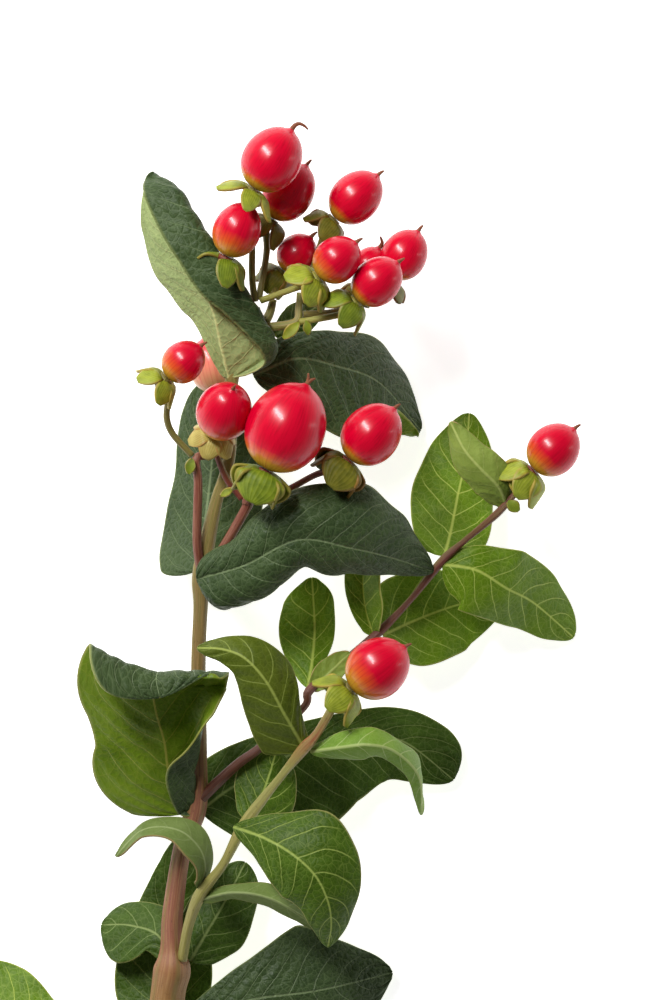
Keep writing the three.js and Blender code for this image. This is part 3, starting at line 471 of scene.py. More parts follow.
# %% Leaf table
LEAVES = [
    {"name": "leaf_top_left", "slot": "leaf_dark",
     "front": "pale_underside", "back": "waxy",
     "path": [[16, 133.5, 25], [14.7, 139, 27], [13, 146, 29], [9.5, 152.5, 30], [5, 159.5, 29],
              [2, 165.5, 27], [1.6, 169.6, 24]],
     "left": {"half": [2, 3.4, 6.8, 8.6, 7.6, 3.4, 1.5], "lift": [-35], "curl": [-20]},
     "right": {"half": [10, 14.5, 14.5, 14.3, 14.4, 13, 8], "lift": [8], "curl": [172],
               "fold": [0.85, 0.68, 0.5, 0.48, 0.49, 0.5], "bend": 0.2}},
    {"name": "leaf_top_right", "slot": "leaf_dark",
     "front": "waxy", "back": "green_underside",
     "path": [[20.5, 134, 21], [28, 137, 20], [35, 135.8, 17], [43, 132.8, 11], [50.4, 124.4, 2]],
     "left": {"half": [3, 5, 7, 8.5, 5], "lift": [-12], "curl": [-20]},
     "right": {"half": [4, 9, 11.5, 13, 8], "lift": [0], "curl": [0, 0, 0, 150, 165], "fold": [0.6],
               "bend": 0.2}},
    {"name": "leaf_mid_left", "slot": "leaf_dark",
     "front": "waxy", "back": "pale_underside",
     "path": [[11, 99, 15.5], [11.5, 106, 11.5], [12.3, 113, 8.5], [13, 120, 6.5], [13.5, 128, 5.8],
              [13.5, 134, 6.5]],
     "left": {"half": [9, 10, 9, 8.5, 8, 5], "lift": [-40], "curl": [0]},
     "right": {"half": [4, 9, 10, 9, 7, 4], "lift": [-8], "curl": [0]}},
    {"name": "leaf_mid_right", "slot": "leaf_dark",
     "front": "waxy", "back": "green_underside", "ends": [0.05, 0.2],
     "path": [[10.4, 97.5, 24], [19, 100, 29], [28.5, 104.5, 32], [38, 103, 30], [45, 101.3, 25],
              [52.6, 98.8, 17]],
     "left": {"half": [3, 7.5, 10, 12.5, 9, 3], "lift": [10, 20, 20, 20, 10],
              "curl": [-90, -90, -60, -50, -40]},
     "right": {"half": [14, 14, 8, 6.5, 4, 2], "lift": [20, 5, -10, -20, -30],
               "curl": [-170, -150, -60, -40, -30]}},
    {"name": "leaf_right_upper", "slot": "leaf_bright",
     "front": "painted_backlight", "back": "pale_underside",
     "path": [[54.8, 101.5, 15], [56, 106, 11], [57.3, 112.5, 7], [58.7, 119, 3.5],
              [59.4, 127.2, 1]],
     "left": {"half": [4, 7, 8.5, 7.4, 4], "lift": [-15], "curl": [0]},
     "right": {"half": [3.5, 7, 7, 5.6, 3], "lift": [-15], "curl": [0]}},
    {"name": "leaf_right_folded", "slot": "leaf_bright",
     "front": "young_underside", "back": "painted_backlight",
     "path": [[66, 110.3, 20], [64.6, 113.8, 23], [61.5, 117, 24], [58.4, 120.6, 23],
              [55.9, 125.6, 20]],
     "left": {"half": [3, 4.8, 4.8, 4, 1.8], "lift": [-24], "curl": [-20]},
     "right": {"half": [2.4, 4.4, 4.4, 3.6, 1.6], "lift": [-30], "curl": [-24]}},
    {"name": "leaf_right_large", "slot": "leaf_bright",
     "front": "painted_backlight", "back": "pale_underside", "ends": [0.05, 0.2],
     "path": [[54.6, 100, 17], [60.5, 99, 18], [66, 95.7, 15], [71, 93, 9], [78.2, 86.8, 0.8]],
     "left": {"half": [2, 4.8, 7.4, 7, 4], "lift": [-10], "curl": [-12]},
     "right": {"half": [4, 8, 7, 5.8, 2.6], "lift": [-10], "curl": [-10]}},
    {"name": "leaf_right_lower", "slot": "leaf_bright",
     "front": "painted_backlight", "back": "pale_underside",
     "path": [[43.8, 87.2, 14], [48.5, 89.4, 10], [54.7, 91.8, 6.5], [59, 92.8, 3.8], [65, 92, 1]],
     "left": {"half": [6, 9, 8, 6, 3], "lift": [-10], "curl": [0]},
     "right": {"half": [4.5, 8.3, 8.6, 7.5, 4.5], "lift": [-8], "curl": [0]}},
    {"name": "leaf_right_inner", "slot": "leaf_bright",
     "front": "painted_backlight", "back": "pale_underside",
     "path": [[42.2, 87.4, 14], [41, 91, 15], [40.3, 95, 16], [40.3, 99, 17], [40.6, 104, 17]],
     "left": {"half": [1.5, 2.6, 3.4, 3.4, 2], "lift": [-20], "curl": [0]},
     "right": {"half": [1.5, 4, 5, 4.5, 3], "lift": [55], "curl": [0]}},
    {"name": "leaf_shoot_upright", "slot": "leaf_bright",
     "front": "painted_backlight", "back": "pale_underside",
     "path": [[30.2, 77.8, 14], [31, 83, 12], [31.4, 88, 10], [31.2, 93, 9], [30.9, 97.5, 9]],
     "left": {"half": [1, 5, 6.5, 5.5, 3], "lift": [-10], "curl": [0]},
     "right": {"half": [1, 2.6, 4, 4.2, 3], "lift": [-25], "curl": [0]}},
    {"name": "leaf_shoot_pale", "slot": "leaf_bright",
     "front": "young_underside", "back": "painted_backlight",
     "path": [[30.8, 77.6, 17], [33.8, 80.2, 18], [37.8, 84, 17]],
     "left": {"half": [1, 2.6, 1.5], "lift": [0], "curl": [0]},
     "right": {"half": [1, 2.2, 1.5], "lift": [0], "curl": [0]}},
    {"name": "leaf_shoot_left", "slot": "leaf_dark",
     "front": "olive", "back": "pale_underside", "ends": [0.06, 0.2],
     "path": [[29.8, 66.6, 26], [26, 73.2, 30], [22.8, 79, 32], [19, 83.2, 32], [15, 84.8, 30],
              [10.5, 85, 26]],
     "left": {"half": [8, 7.5, 6, 4.3, 2.6, 1.6], "lift": [-30], "curl": [0]},
     "right": {"half": [1, 4, 6.4, 5, 3.6, 1.6], "lift": [-25], "curl": [-15]}},
    {"name": "leaf_shoot_right", "slot": "leaf_bright",
     "front": "young", "back": "pale_underside",
     "path": [[30.8, 66.4, 26], [36, 67.2, 30], [41, 67.7, 32], [45.8, 66.5, 30], [50.1, 62, 25],
              [50.7, 55, 17]],
     "left": {"half": [1, 3.6, 4, 3.2, 4, 1.8], "lift": [-35], "curl": [-20]},
     "right": {"half": [1, 4, 3.7, 2.6, 2, 1], "lift": [-45], "curl": [-20]}},
    {"name": "leaf_shoot_back", "slot": "leaf_bright",
     "front": "fresh", "back": "pale_underside",
     "path": [[19.2, 54, 19], [21.5, 57.5, 17], [23.2, 62, 16], [24.5, 66.3, 16]],
     "left": {"half": [2, 5, 5.6, 3], "lift": [-15], "curl": [0]},
     "right": {"half": [4, 6.5, 5.5, 3], "lift": [-15], "curl": [0]}},
    {"name": "leaf_shoot_front", "slot": "leaf_bright",
     "front": "fresh", "back": "pale_underside", "ends": [0.04, 0.14],
     "path": [[17, 52.8, 24], [22.5, 50.9, 28], [27.6, 48, 30.6], [31.6, 44.2, 31],
              [33.8, 39.6, 29.4], [34.4, 35.4, 26.4], [33.8, 31.4, 22.4]],
     "left": {"half": [0.8, 5.4, 10, 9.2, 6.6, 3.8, 1.6], "lift": [-12], "curl": [-16]},
     "right": {"half": [0.8, 4.8, 7.5, 7.7, 6, 4, 1.6], "lift": [-10], "curl": [-14]}},
    {"name": "leaf_shoot_curly", "slot": "leaf_bright",
     "front": "grey_underside", "back": "young",
     "path": [[10.7, 41.6, 18], [11.6, 46.2, 20], [9.8, 50, 21], [6, 52.4, 21], [0.5, 52.1, 19],
              [-4.4, 47.4, 15]],
     "left": {"half": [1.2, 3, 4, 3, 2, 1], "lift": [60], "curl": [10]},
     "right": {"half": [1.2, 3, 4, 3.4, 2.4, 1], "lift": [-60], "curl": [-10]}},
    {"name": "leaf_shoot_narrow", "slot": "leaf_bright",
     "front": "grey_underside", "back": "young",
     "path": [[10.8, 39.6, 17], [17, 40.9, 20], [24, 39.6, 20], [32.5, 34.4, 16]],
     "left": {"half": [1, 2.2, 3.4, 1.5], "lift": [-50], "curl": [0]},
     "right": {"half": [1, 2.2, 3, 1.5], "lift": [-55], "curl": [0]}},
    {"name": "leaf_fork_left", "slot": "leaf_dark",
     "front": "olive_underside", "back": "waxy", "ends": [0.06, 0.1],
     "path": [[8, 55, 13], [5.3, 62, 17], [4.4, 68, 20], [3, 73.2, 23], [2.4, 77.4, 25.4],
              [3.2, 80.6, 28.2], [3, 79.2, 31], [3.6, 76.2, 31.4]],
     "left": {"half": [8, 14, 13, 13, 14, 13.5, 12, 7], "lift": [-12], "curl": [-20]},
     "right": {"half": [6, 11, 13, 13.5, 13.4, 13, 11, 7], "lift": [0],
               "curl": [170, 170, 160, 110, 50, 0, 0], "fold": [0.4, 0.44, 0.56, 0.8, 0.9],
               "bend": 0.2}},
    {"name": "leaf_fork_right", "slot": "leaf_dark",
     "front": "deep", "back": "pale_underside", "ends": [0.08, 0.13],
     "path": [[10.8, 55.5, 12], [17, 60, 9], [28, 66, 7.5], [38, 69, 5.5], [47.2, 68, 3.6],
              [56.5, 61, 2.4]],
     "left": {"half": [5, 7, 5, 4.4, 6, 7.4], "lift": [-10, -10, -10, -8, -4, 0], "curl": [0]},
     "right": {"half": [5, 13, 15, 12, 8, 3], "lift": [-10], "curl": [0]}},
    {"name": "leaf_low_left", "slot": "leaf_dark",
     "front": "deep", "back": "pale_underside",
     "path": [[5.4, 28.6, 9], [3, 33, 8], [-2, 34.6, 4.4], [-7, 34.6, 1.2]],
     "left": {"half": [1.5, 4.2, 7.2, 5.4], "lift": [-10], "curl": [0]},
     "right": {"half": [1.5, 5, 5, 4.2], "lift": [-5], "curl": [0]}},
    {"name": "leaf_low_right", "slot": "leaf_dark",
     "front": "deep", "back": "pale_underside",
     "path": [[9, 28.4, 9], [12.1, 33.8, 9], [15.2, 39, 8], [18.8, 46, 6]],
     "left": {"half": [3, 5.6, 5.6, 3], "lift": [-15], "curl": [0]},
     "right": {"half": [3, 6.8, 6.2, 4], "lift": [-15], "curl": [0]}},
    {"name": "leaf_low_back", "slot": "leaf_dark",
     "front": "deep", "back": "pale_underside",
     "path": [[4, 14, 5], [4, 22, 2.8], [4, 30, 2.2], [4.5, 38, 1.6], [6, 45, 2], [8.4, 52, 2.6]],
     "left": {"half": [4, 8.6, 8, 5, 3, 2], "lift": [-8], "curl": [0]},
     "right": {"half": [4, 8.4, 8.8, 7.4, 5.4, 3], "lift": [-8], "curl": [0]}},
    {"name": "leaf_low_large_right", "slot": "leaf_dark",
     "front": "waxy", "back": "pale_underside",
     "path": [[5.5, 14.5, 6], [12, 18.6, 8], [20.1, 21.4, 9], [30.2, 22.7, 8], [38, 24.2, 5],
              [45.3, 26, 1]],
     "left": {"half": [2, 3.4, 6.8, 12.2, 8, 5], "lift": [-10], "curl": [0]},
     "right": {"half": [3, 8, 12, 12.6, 9, 5], "lift": [-15], "curl": [0]}},
    {"name": "leaf_low_large_left", "slot": "leaf_dark",
     "front": "painted_backlight", "back": "pale_underside",
     "path": [[2.2, 14.5, 6], [-7, 13, 8], [-17, 14.8, 8], [-26, 20.5, 5], [-34.5, 28, 1]],
     "left": {"half": [2, 9, 11, 9.5, 4], "lift": [-12], "curl": [0]},
     "right": {"half": [2, 4, 6, 8, 4], "lift": [-12], "curl": [0]}},
    {"name": "leaf_top_back", "slot": "leaf_dark",
     "front": "deep", "back": "pale_underside",
     "path": [[24.3, 141.3, 17], [28.5, 144.2, 15], [33, 147.4, 12]],
     "left": {"half": [1, 3, 1.5], "lift": [-10], "curl": [0]},
     "right": {"half": [1, 3, 1.5], "lift": [-10], "curl": [0]}},
]

print("leaves:", len(LEAVES))

# %% Blade surface
BLADE_ROWS = 84
BLADE_COLUMNS = 44
BLADE_WALL = 0.34
FINE_STEPS = 4  # steps taken between one column of points and the next
NARROW_END = 0.03  # a blade's width at its very ends, as a share of its full width
ROUNDED_ENDS = [0.08, 0.22]  # most leaves' rounded base and tip, as shares of their length
SLOPING_WIDTH = 2.0  # half width from which a blade has its full lift, mm
ROLLING_WIDTH = 6.0  # and its full curl
VEIN_SPACING = 4.4  # mm between side veins where they leave the midrib
FEWEST_VEINS = 4
FIRST_VEIN = 20  # keeps the side veins' count above zero all over the blade
RIPPLE = 0.25  # height of the waves in a blade's edge, mm
RIPPLES_PER_VEIN = 0.45
RIPPLE_OFFSET = 0.2  # share of a wave by which one edge runs ahead and the other behind
RIPPLING_WIDTH = 5  # half width from which the edge has its full waves, mm


def smooth(value, low, high):
    """0 below low, 1 above high, and an easy rise between them."""
    share = np.clip((value - low) / (high - low), 0, 1)
    return share * share * (3 - 2 * share)


def rounded_ends(along, base_length, tip_length):
    """A blade's width as a share of its full width: both ends are rounded."""
    at_base = np.sqrt(1 - np.clip(1 - along / base_length, 0, 1) ** 2)
    at_tip = np.sqrt(1 - np.clip((along - 1 + tip_length) / tip_length, 0, 1) ** 2)
    return np.maximum(NARROW_END, at_base * at_tip)


def half_section(half, along, places, ends, middle, out, up):
    """Rows of points across one half of a blade, the way up at each, and each row's width."""
    def each(values):
        return spline(values, along * (len(values) - 1))

    width = spline(half["half"], places) * ends
    lift = each(half["lift"]) * np.minimum(1, width / SLOPING_WIDTH)
    curl = each(half["curl"]) * np.minimum(1, width / ROLLING_WIDTH)
    fold = each(half.get("fold", [0.5]))[:, None]
    bend = half.get("bend", 0.5)
    steps = BLADE_COLUMNS // 2 * FINE_STEPS
    kept = slice(FINE_STEPS - 1, None, FINE_STEPS)
    share = (np.arange(steps) + 0.5) / steps
    bent = smooth(share[None, :], fold - bend, fold + bend)
    slope = np.radians(lift[:, None] + curl[:, None] * bent)
    step = width[:, None] / steps
    reach = np.cumsum(np.cos(slope) * step, axis=1)[:, kept]
    rise = np.cumsum(np.sin(slope) * step, axis=1)[:, kept]
    slope = slope[:, kept, None]
    points = middle[:, None] + out[:, None] * reach[..., None] + up[:, None] * rise[..., None]
    facing = up[:, None] * np.cos(slope) - out[:, None] * np.sin(slope)
    return points, facing, width


def blade_shape(leaf, swell):
    """A shaping function for a leaf; swell is how far its fields bulge between veins, in mm."""
    rows, half_columns = BLADE_ROWS, BLADE_COLUMNS // 2
    even = np.arange(rows + 1) / rows
    along = 0.5 * even + 0.25 * (1 - np.cos(math.pi * even))
    places, length = along_chords(leaf["path"], along)
    middle, side, up = carried_frames(leaf["path"], places)
    ends = rounded_ends(along, *leaf.get("ends", ROUNDED_ENDS))
    halves = [half_section(leaf[half], along, places, ends, middle, out, up)
              for half, out in (("left", -side), ("right", side))]
    (left, left_up, left_width), (right, right_up, right_width) = halves
    points = np.concatenate([left[:, ::-1], middle[:, None], right], axis=1)
    facing = np.concatenate([left_up[:, ::-1], up[:, None], right_up], axis=1)
    share = np.abs(np.arange(-half_columns, half_columns + 1)) / half_columns
    width = np.concatenate([np.repeat(left_width[:, None], half_columns, 1),
                            np.repeat(right_width[:, None], half_columns + 1, 1)], axis=1)
    signs = np.sign(np.arange(-half_columns, half_columns + 1))
    tipward = np.repeat(along[:, None], len(share), 1)

    # side veins leave at an angle and arch towards the tip
    count = max(FEWEST_VEINS, round(length / VEIN_SPACING))
    arch = width.mean() / length * (0.95 * share + 0.6 * share ** 2)
    phase = (along[:, None] - arch[None, :]) * count + FIRST_VEIN
    between = np.abs(np.sin(math.pi * (phase - 0.5)))
    bulge = swell * between * np.sin(math.pi * share) ** 0.6
    waves = along[:, None] * count * RIPPLES_PER_VEIN + RIPPLE_OFFSET * signs
    ripple = RIPPLE * np.sin(2 * math.pi * waves) * share ** 3
    points = points + facing * (bulge + ripple * np.minimum(1, width / RIPPLING_WIDTH))[..., None]
    maps = {
        "mm": np.stack([signs * share * width, tipward * length], -1),
        "veins": np.stack([phase, np.repeat(share[None], rows + 1, 0)], -1),
        "place": np.stack([tipward, tipward], -1),
    }

    def shape(across, up_the_leaf):
        row = np.rint(up_the_leaf * rows).astype(int)
        column = np.rint(across * 2 * half_columns).astype(int)
        return points[row, column], {title: values[row, column] for title, values in maps.items()}

    return shape


# %% Grow the leaves
# how far the fields of each upper side bulge, mm
SWELL = {"waxy": 0.34, "deep": 0.26, "olive": 0.16, "fresh": 0.18, "painted_backlight": 0.14, "young": 0.08}

for leaf in LEAVES:
    # fields bulge towards the upper side, whichever way the blade lies
    swell = SWELL[leaf["front"]] if leaf["front"] in SWELL else -SWELL[leaf["back"]]
    finishes = [BLADES[leaf["front"]], BLADES[leaf["back"]]]
    blade = shaped_grid(leaf["name"] + "_blade", BLADE_COLUMNS, BLADE_ROWS,
                        blade_shape(leaf, swell), finishes, wall=BLADE_WALL, back_finish=1)
    dress(blade, leaf["name"])
print("leaves grown:", len(LEAVES), "with", len(blade.data.polygons), "faces each")

# %% [markdown]
# ## Stems
#
# The trunk is woody: a slightly four-cornered rod with a swollen ring wherever leaves sat. Its bark
# runs from straw yellow at the cut to pinkish brown and olive green near the berries, in long thin
# streaks. The side shoots are younger, one red-brown and one olive. A tube is a grid whose long
# edges meet; its first and last rows shrink to a point, which closes the cut.

# %% Bark finishes
FIBRES = (2.6, 0.09, 1.0)  # thin streaks per mm round the stem and along it
STRIPS = (0.42, 0.012, 1.0)  # broad strips per mm, the same two ways
STRIP_OLIVE = "#7a7430"
DOTS = 1.3  # pores per mm
DOT_BROWN = "#4a2c18"
FIBRE_DEPTH = 0.25  # mm
BARK_ROUGHNESS = 0.5


def bark_finish(title, stops, streak, low=0.0, high=1.0):
    """Streaked bark whose colour runs through the stops from low to high, in metres along Y."""
    material, tree, shader = new_material(title)
    place = add(tree, "ShaderNodeTexCoord", out="Object")
    height = add(tree, "ShaderNodeSeparateXYZ", {0: place}, out=1)
    share = add(tree, "ShaderNodeMapRange", {0: height, 1: low, 2: high})
    colour = add(tree, "ShaderNodeValToRGB", {0: share}, stops=stops, out="Color")
    mm = add(tree, "ShaderNodeUVMap", uv_map="mm")
    stretched = add(tree, "ShaderNodeMapping", {0: mm, 3: FIBRES})
    fibres = add(tree, "ShaderNodeTexNoise", {"Vector": stretched, "Scale": 1.0, "Detail": 5.0,
                                              "Roughness": 0.65}, out="Fac")
    streaks = add(tree, "ShaderNodeMapRange", {0: fibres, 1: 0.45, 2: 0.68, 4: 0.7})
    colour = add(tree, "ShaderNodeMix", {0: streaks, 6: colour, 7: linear(streak)}, out=2,
                 data_type="RGBA")
    # the corners of a ridged stem stay olive, in broad strips
    stretched = add(tree, "ShaderNodeMapping", {0: mm, 3: STRIPS})
    strips = add(tree, "ShaderNodeTexNoise", {"Vector": stretched, "Scale": 1.0, "Detail": 1.0},
                 out="Fac")
    strips = add(tree, "ShaderNodeMapRange", {0: strips, 1: 0.5, 2: 0.62, 4: 0.55})
    colour = add(tree, "ShaderNodeMix", {0: strips, 6: colour, 7: linear(STRIP_OLIVE)}, out=2,
                 data_type="RGBA")
    dots = add(tree, "ShaderNodeTexNoise", {"Vector": mm, "Scale": DOTS, "Detail": 2.0}, out="Fac")
    dots = add(tree, "ShaderNodeMapRange", {0: dots, 1: 0.62, 2: 0.75, 4: 0.5})
    colour = add(tree, "ShaderNodeMix", {0: dots, 6: colour, 7: linear(DOT_BROWN)}, out=2,
                 data_type="RGBA")
    tree.links.new(colour, shader.inputs["Base Color"])
    bump = add(tree, "ShaderNodeBump", {"Height": fibres, "Distance": FIBRE_DEPTH * MM,
                                        "Strength": 0.8}, out="Normal")
    tree.links.new(bump, shader.inputs["Normal"])
    shader.inputs["Roughness"].default_value = BARK_ROUGHNESS
    return material


# heights along the sprig in metres, as the frame counts them
FOOT = -89.2 * MM
CROWN = 60 * MM
trunk_bark = bark_finish("woody stem bark", [
    (0.0, "#a08a44"), (0.16, "#94683a"), (0.22, "#8c5240"), (0.38, "#84503c"), (0.5, "#6e5424"),
    (0.66, "#80703c"), (0.8, "#77702e"), (1.0, "#757832")], "#b68c5a", low=FOOT, high=CROWN)
fork_bark = bark_finish("red fork bark", [(0.0, "#6c2e20"), (0.5, "#7e4230"), (1.0, "#8a6a40")],
                        "#a4785a", low=8 * MM, high=56 * MM)
shoot_bark = bark_finish("red-brown shoot bark", [(0.0, "#4c2414"), (0.4, "#663020"),
                                                  (1.0, "#5c2219")],
                         "#7f4c34", low=-32 * MM, high=24 * MM)
olive_bark = bark_finish("olive shoot bark", [(0.0, "#8a8440"), (0.75, "#93904c"),
                                              (0.86, "#9a5a38"), (1.0, "#8e8c4a")],
                         "#b5a468", low=-61 * MM, high=-14 * MM)
print("barks:", trunk_bark.name, "|", fork_bark.name, "|", shoot_bark.name, "|", olive_bark.name)

# %% Stem table
# Each line is a row of [x, y, z, radius] points in mm. Of several lines, the first is the trunk and
# the others branch from it.
STEMS = [
    {"name": "main_stem", "lines": [
        [[1.5, 0, 3, 3], [4, 14.5, 4.6, 3.1], [5, 23, 7.5, 3], [5.7, 27, 9, 3.2],
         [5.7, 30.6, 9.4, 2.1], [5.8, 37, 10.2, 1.8], [7.6, 49, 12.5, 1.6], [10, 56, 14, 1.9],
         [10.6, 65.6, 15.5, 1.4], [10.5, 82, 17.5, 1.3], [10.9, 92.4, 19, 1.3], [11.2, 99, 20, 1.7],
         [13.6, 110.7, 22, 1.15], [16.1, 119.5, 23, 1.15], [16.6, 133.5, 24, 1.3],
         [19.5, 139, 25.4, 1.1], [21.5, 143, 26.6, 1.1]],
        [[11, 99, 21, 0.9], [10.3, 104.4, 23, 0.8], [10.5, 114.5, 24.5, 0.8], [10.2, 119, 25, 0.8],
         [12.4, 119.6, 24, 0.7]],
        [[11.3, 99, 21, 1], [14.1, 101.6, 23.5, 0.9], [18.9, 109.7, 25.8, 0.9],
         [19.5, 111.4, 26.4, 1.1], [20, 112.1, 27.7, 0.8]],
        [[21.3, 142.2, 26.6, 0.9], [20.9, 146, 28, 0.8]],
        [[21.5, 142, 26.2, 0.9], [23.3, 145, 26, 0.8], [24, 147.6, 26.4, 0.7]],
        [[21.3, 142.4, 26.6, 0.8], [27.8, 143.4, 27, 0.8], [28.6, 146, 26.4, 0.7],
         [28.8, 148.8, 26, 0.6]],
    ]},
    {"name": "right_shoot", "lines": [
        [[10.7, 57.6, 15, 1], [17.3, 63.8, 17, 0.85], [22, 67.3, 18, 0.75], [29.5, 74.3, 18, 0.65],
         [30.5, 77.3, 17.5, 0.8], [36, 82, 15.5, 0.6], [42.5, 87.3, 14.5, 0.8],
         [48.5, 93.4, 15.5, 0.55], [54.4, 100.6, 17, 0.8], [58.5, 104.3, 18, 0.55],
         [64.1, 109, 20, 0.7], [67.8, 113, 21, 0.55]],
    ]},
    {"name": "lower_shoot", "lines": [
        [[7.5, 28.6, 11, 0.9], [8.8, 35.3, 14, 0.9], [11, 40.8, 17.5, 1.1], [15, 46.1, 20, 0.8],
         [19, 53.6, 22.5, 1.1], [25.3, 61.8, 25, 0.75], [29.5, 67, 27, 1.1], [31.8, 69.6, 28, 0.8],
         [35, 74.9, 29, 0.8]],
    ]},
]

# %% Tubes
def tube_rows(line, rows_per_span):
    """How many rows a tube has: so many to each span of its line, and two that close its ends."""
    return rows_per_span * (len(line) - 1) + 2


def tube_shape(line, rows, ridges=0, ridge_height=0.0, twist=0.0):
    """A shaping function for a closed tube along a line of [x, y, z, radius] points.

    Ridges run along it, raised by a share of the radius, and turn by twist over its length.
    """
    along = np.clip((np.arange(rows + 1) - 1) / (rows - 2), 0, 1)
    places, length = along_chords(line, along)
    middle, side, up = carried_frames(np.asarray(line, float)[:, :3], places)
    radius = spline(np.asarray(line, float)[:, 3:], places)[:, 0]
    radius[[0, -1]] = 0

    def shape(across, up_the_line):
        row = np.rint(up_the_line * rows).astype(int)
        angle = 2 * math.pi * across
        ridge = ridge_height * np.cos(ridges * angle + twist * along[row])
        reach = (radius[row] * (1 + ridge))[:, None]
        points = middle[row] + reach * (side[row] * np.cos(angle)[:, None]
                                        + up[row] * np.sin(angle)[:, None])
        girth = 2 * math.pi * radius.max()
        return points, {"mm": np.stack([across * girth, along[row] * length], -1)}

    return shape


print("points along the trunk:", len(STEMS[0]["lines"][0]))

# %% Grow the stems
STEM_ROWS = 14  # to each span of a line
TRUNK_COLUMNS, BRANCH_COLUMNS = 28, 16
STEM_RIDGES = 4
TRUNK_RIDGE, BRANCH_RIDGE = 0.06, 0.03  # height of the ridges, as a share of the radius
STEM_TWIST = 3.0  # radians

BARKS = {
    "main_stem": [trunk_bark, fork_bark, fork_bark, trunk_bark, trunk_bark, trunk_bark],
    "right_shoot": [shoot_bark],
    "lower_shoot": [olive_bark],
}

for stem in STEMS:
    parts = []
    for i, (line, bark) in enumerate(zip(stem["lines"], BARKS[stem["name"]])):
        columns, ridge = (BRANCH_COLUMNS, BRANCH_RIDGE) if i else (TRUNK_COLUMNS, TRUNK_RIDGE)
        rows = tube_rows(line, STEM_ROWS)
        shape = tube_shape(line, rows, ridges=STEM_RIDGES, ridge_height=ridge, twist=STEM_TWIST)
        parts.append(shaped_grid(f"{stem['name']}_{i}", columns, rows, shape, [bark]))
    rod = joined(parts, stem["name"] + "_bark")
    dress(rod, stem["name"])
print("stems:", [stem["name"] for stem in STEMS])

# %% [markdown]
# ## Berries
#
# A hypericum berry is a fleshy capsule with a thin, tight, glossy skin. It reddens from the tip
# down, so the ring round the calyx stays orange or yellow longest. Three shallow seams run from
# base to tip, and the dried remains of the styles stand on the tip as one or two brown threads.
# A ball primitive has its poles at top and bottom, while a berry's lie at its calyx and its style,
# so the berry too is a grid, turned round its own axis.

# %% Berry skin
BLUSH = (2.2, 0.5, 1.0)  # how fine the patches are where it turns, round the berry and along it
SKIN_STREAKS = (26.0, 0.6, 1.0)  # how fine its streaks are, the same two ways
STREAK_DEPTH = 0.03  # mm
DRY_GRAINS = 1800.0  # per metre


def skin_finish(title, base, ring, body, deep):
    """Tight glossy skin that turns from base and ring to body colour; "skin" says how ripe."""
    material, tree, shader = new_material(title)
    skin = add(tree, "ShaderNodeUVMap", uv_map="skin")
    split = add(tree, "ShaderNodeSeparateXYZ", {0: skin})
    stretched = add(tree, "ShaderNodeMapping", {0: skin, 3: BLUSH})
    drift = add(tree, "ShaderNodeTexNoise", {"Vector": stretched, "Scale": 2.0, "Detail": 3.0},
                out="Fac")
    ripe = add(tree, "ShaderNodeMath", {0: drift, 1: 0.5, 2: split.node.outputs[1]},
               operation="MULTIPLY_ADD")
    ripe = add(tree, "ShaderNodeMath", {0: ripe, 1: 0.25}, operation="SUBTRACT")
    colour = add(tree, "ShaderNodeValToRGB", {0: ripe}, out="Color",
                 stops=[(0.0, base), (0.95, body), (0.45, ring)])
    stretched = add(tree, "ShaderNodeMapping", {0: skin, 3: SKIN_STREAKS})
    streaks = add(tree, "ShaderNodeTexNoise", {"Vector": stretched, "Scale": 1.0, "Detail": 3.0},
                  out="Fac")
    streaks = add(tree, "ShaderNodeMapRange", {0: streaks, 1: 0.45, 2: 0.75, 4: 0.6})
    colour = add(tree, "ShaderNodeMix", {0: streaks, 6: colour, 7: linear(deep)}, out=2,
                 data_type="RGBA")
    tree.links.new(colour, shader.inputs["Base Color"])
    bump = add(tree, "ShaderNodeBump", {"Height": streaks, "Distance": STREAK_DEPTH * MM,
                                        "Strength": 0.5}, out="Normal")
    tree.links.new(bump, shader.inputs["Normal"])
    shader.inputs["Roughness"].default_value = 0.27
    shader.inputs["IOR"].default_value = 1.4
    shader.inputs["Specular IOR Level"].default_value = 0.42
    shader.inputs["Coat Weight"].default_value = 0.18
    shader.inputs["Coat IOR"].default_value = 1.4
    shader.inputs["Coat Roughness"].default_value = 0.1
    return material


def dry_finish(title, dark, light):
    """Dried plant tissue: dull, brown and grained."""
    material, tree, shader = new_material(title)
    place = add(tree, "ShaderNodeTexCoord", out="Object")
    grain = add(tree, "ShaderNodeTexNoise", {"Vector": place, "Scale": DRY_GRAINS, "Detail": 3.0},
                out="Fac")
    tree.links.new(add(tree, "ShaderNodeMix", {0: grain, 6: linear(dark), 7: linear(light)}, out=2,
                       data_type="RGBA"), shader.inputs["Base Color"])
    shader.inputs["Roughness"].default_value = 0.7
    return material


ripe_skin = skin_finish("ripe berry skin", "#c8942c", "#d2541c", "#d0002a", "#a0001c")
pale_skin = skin_finish("half ripe berry skin", "#d8a878", "#e68c74", "#dc3c48", "#c82c3c")
dry_style = dry_finish("dried style", "#4a2410", "#a05a34")
print("skins:", ripe_skin.name, "|", pale_skin.name)

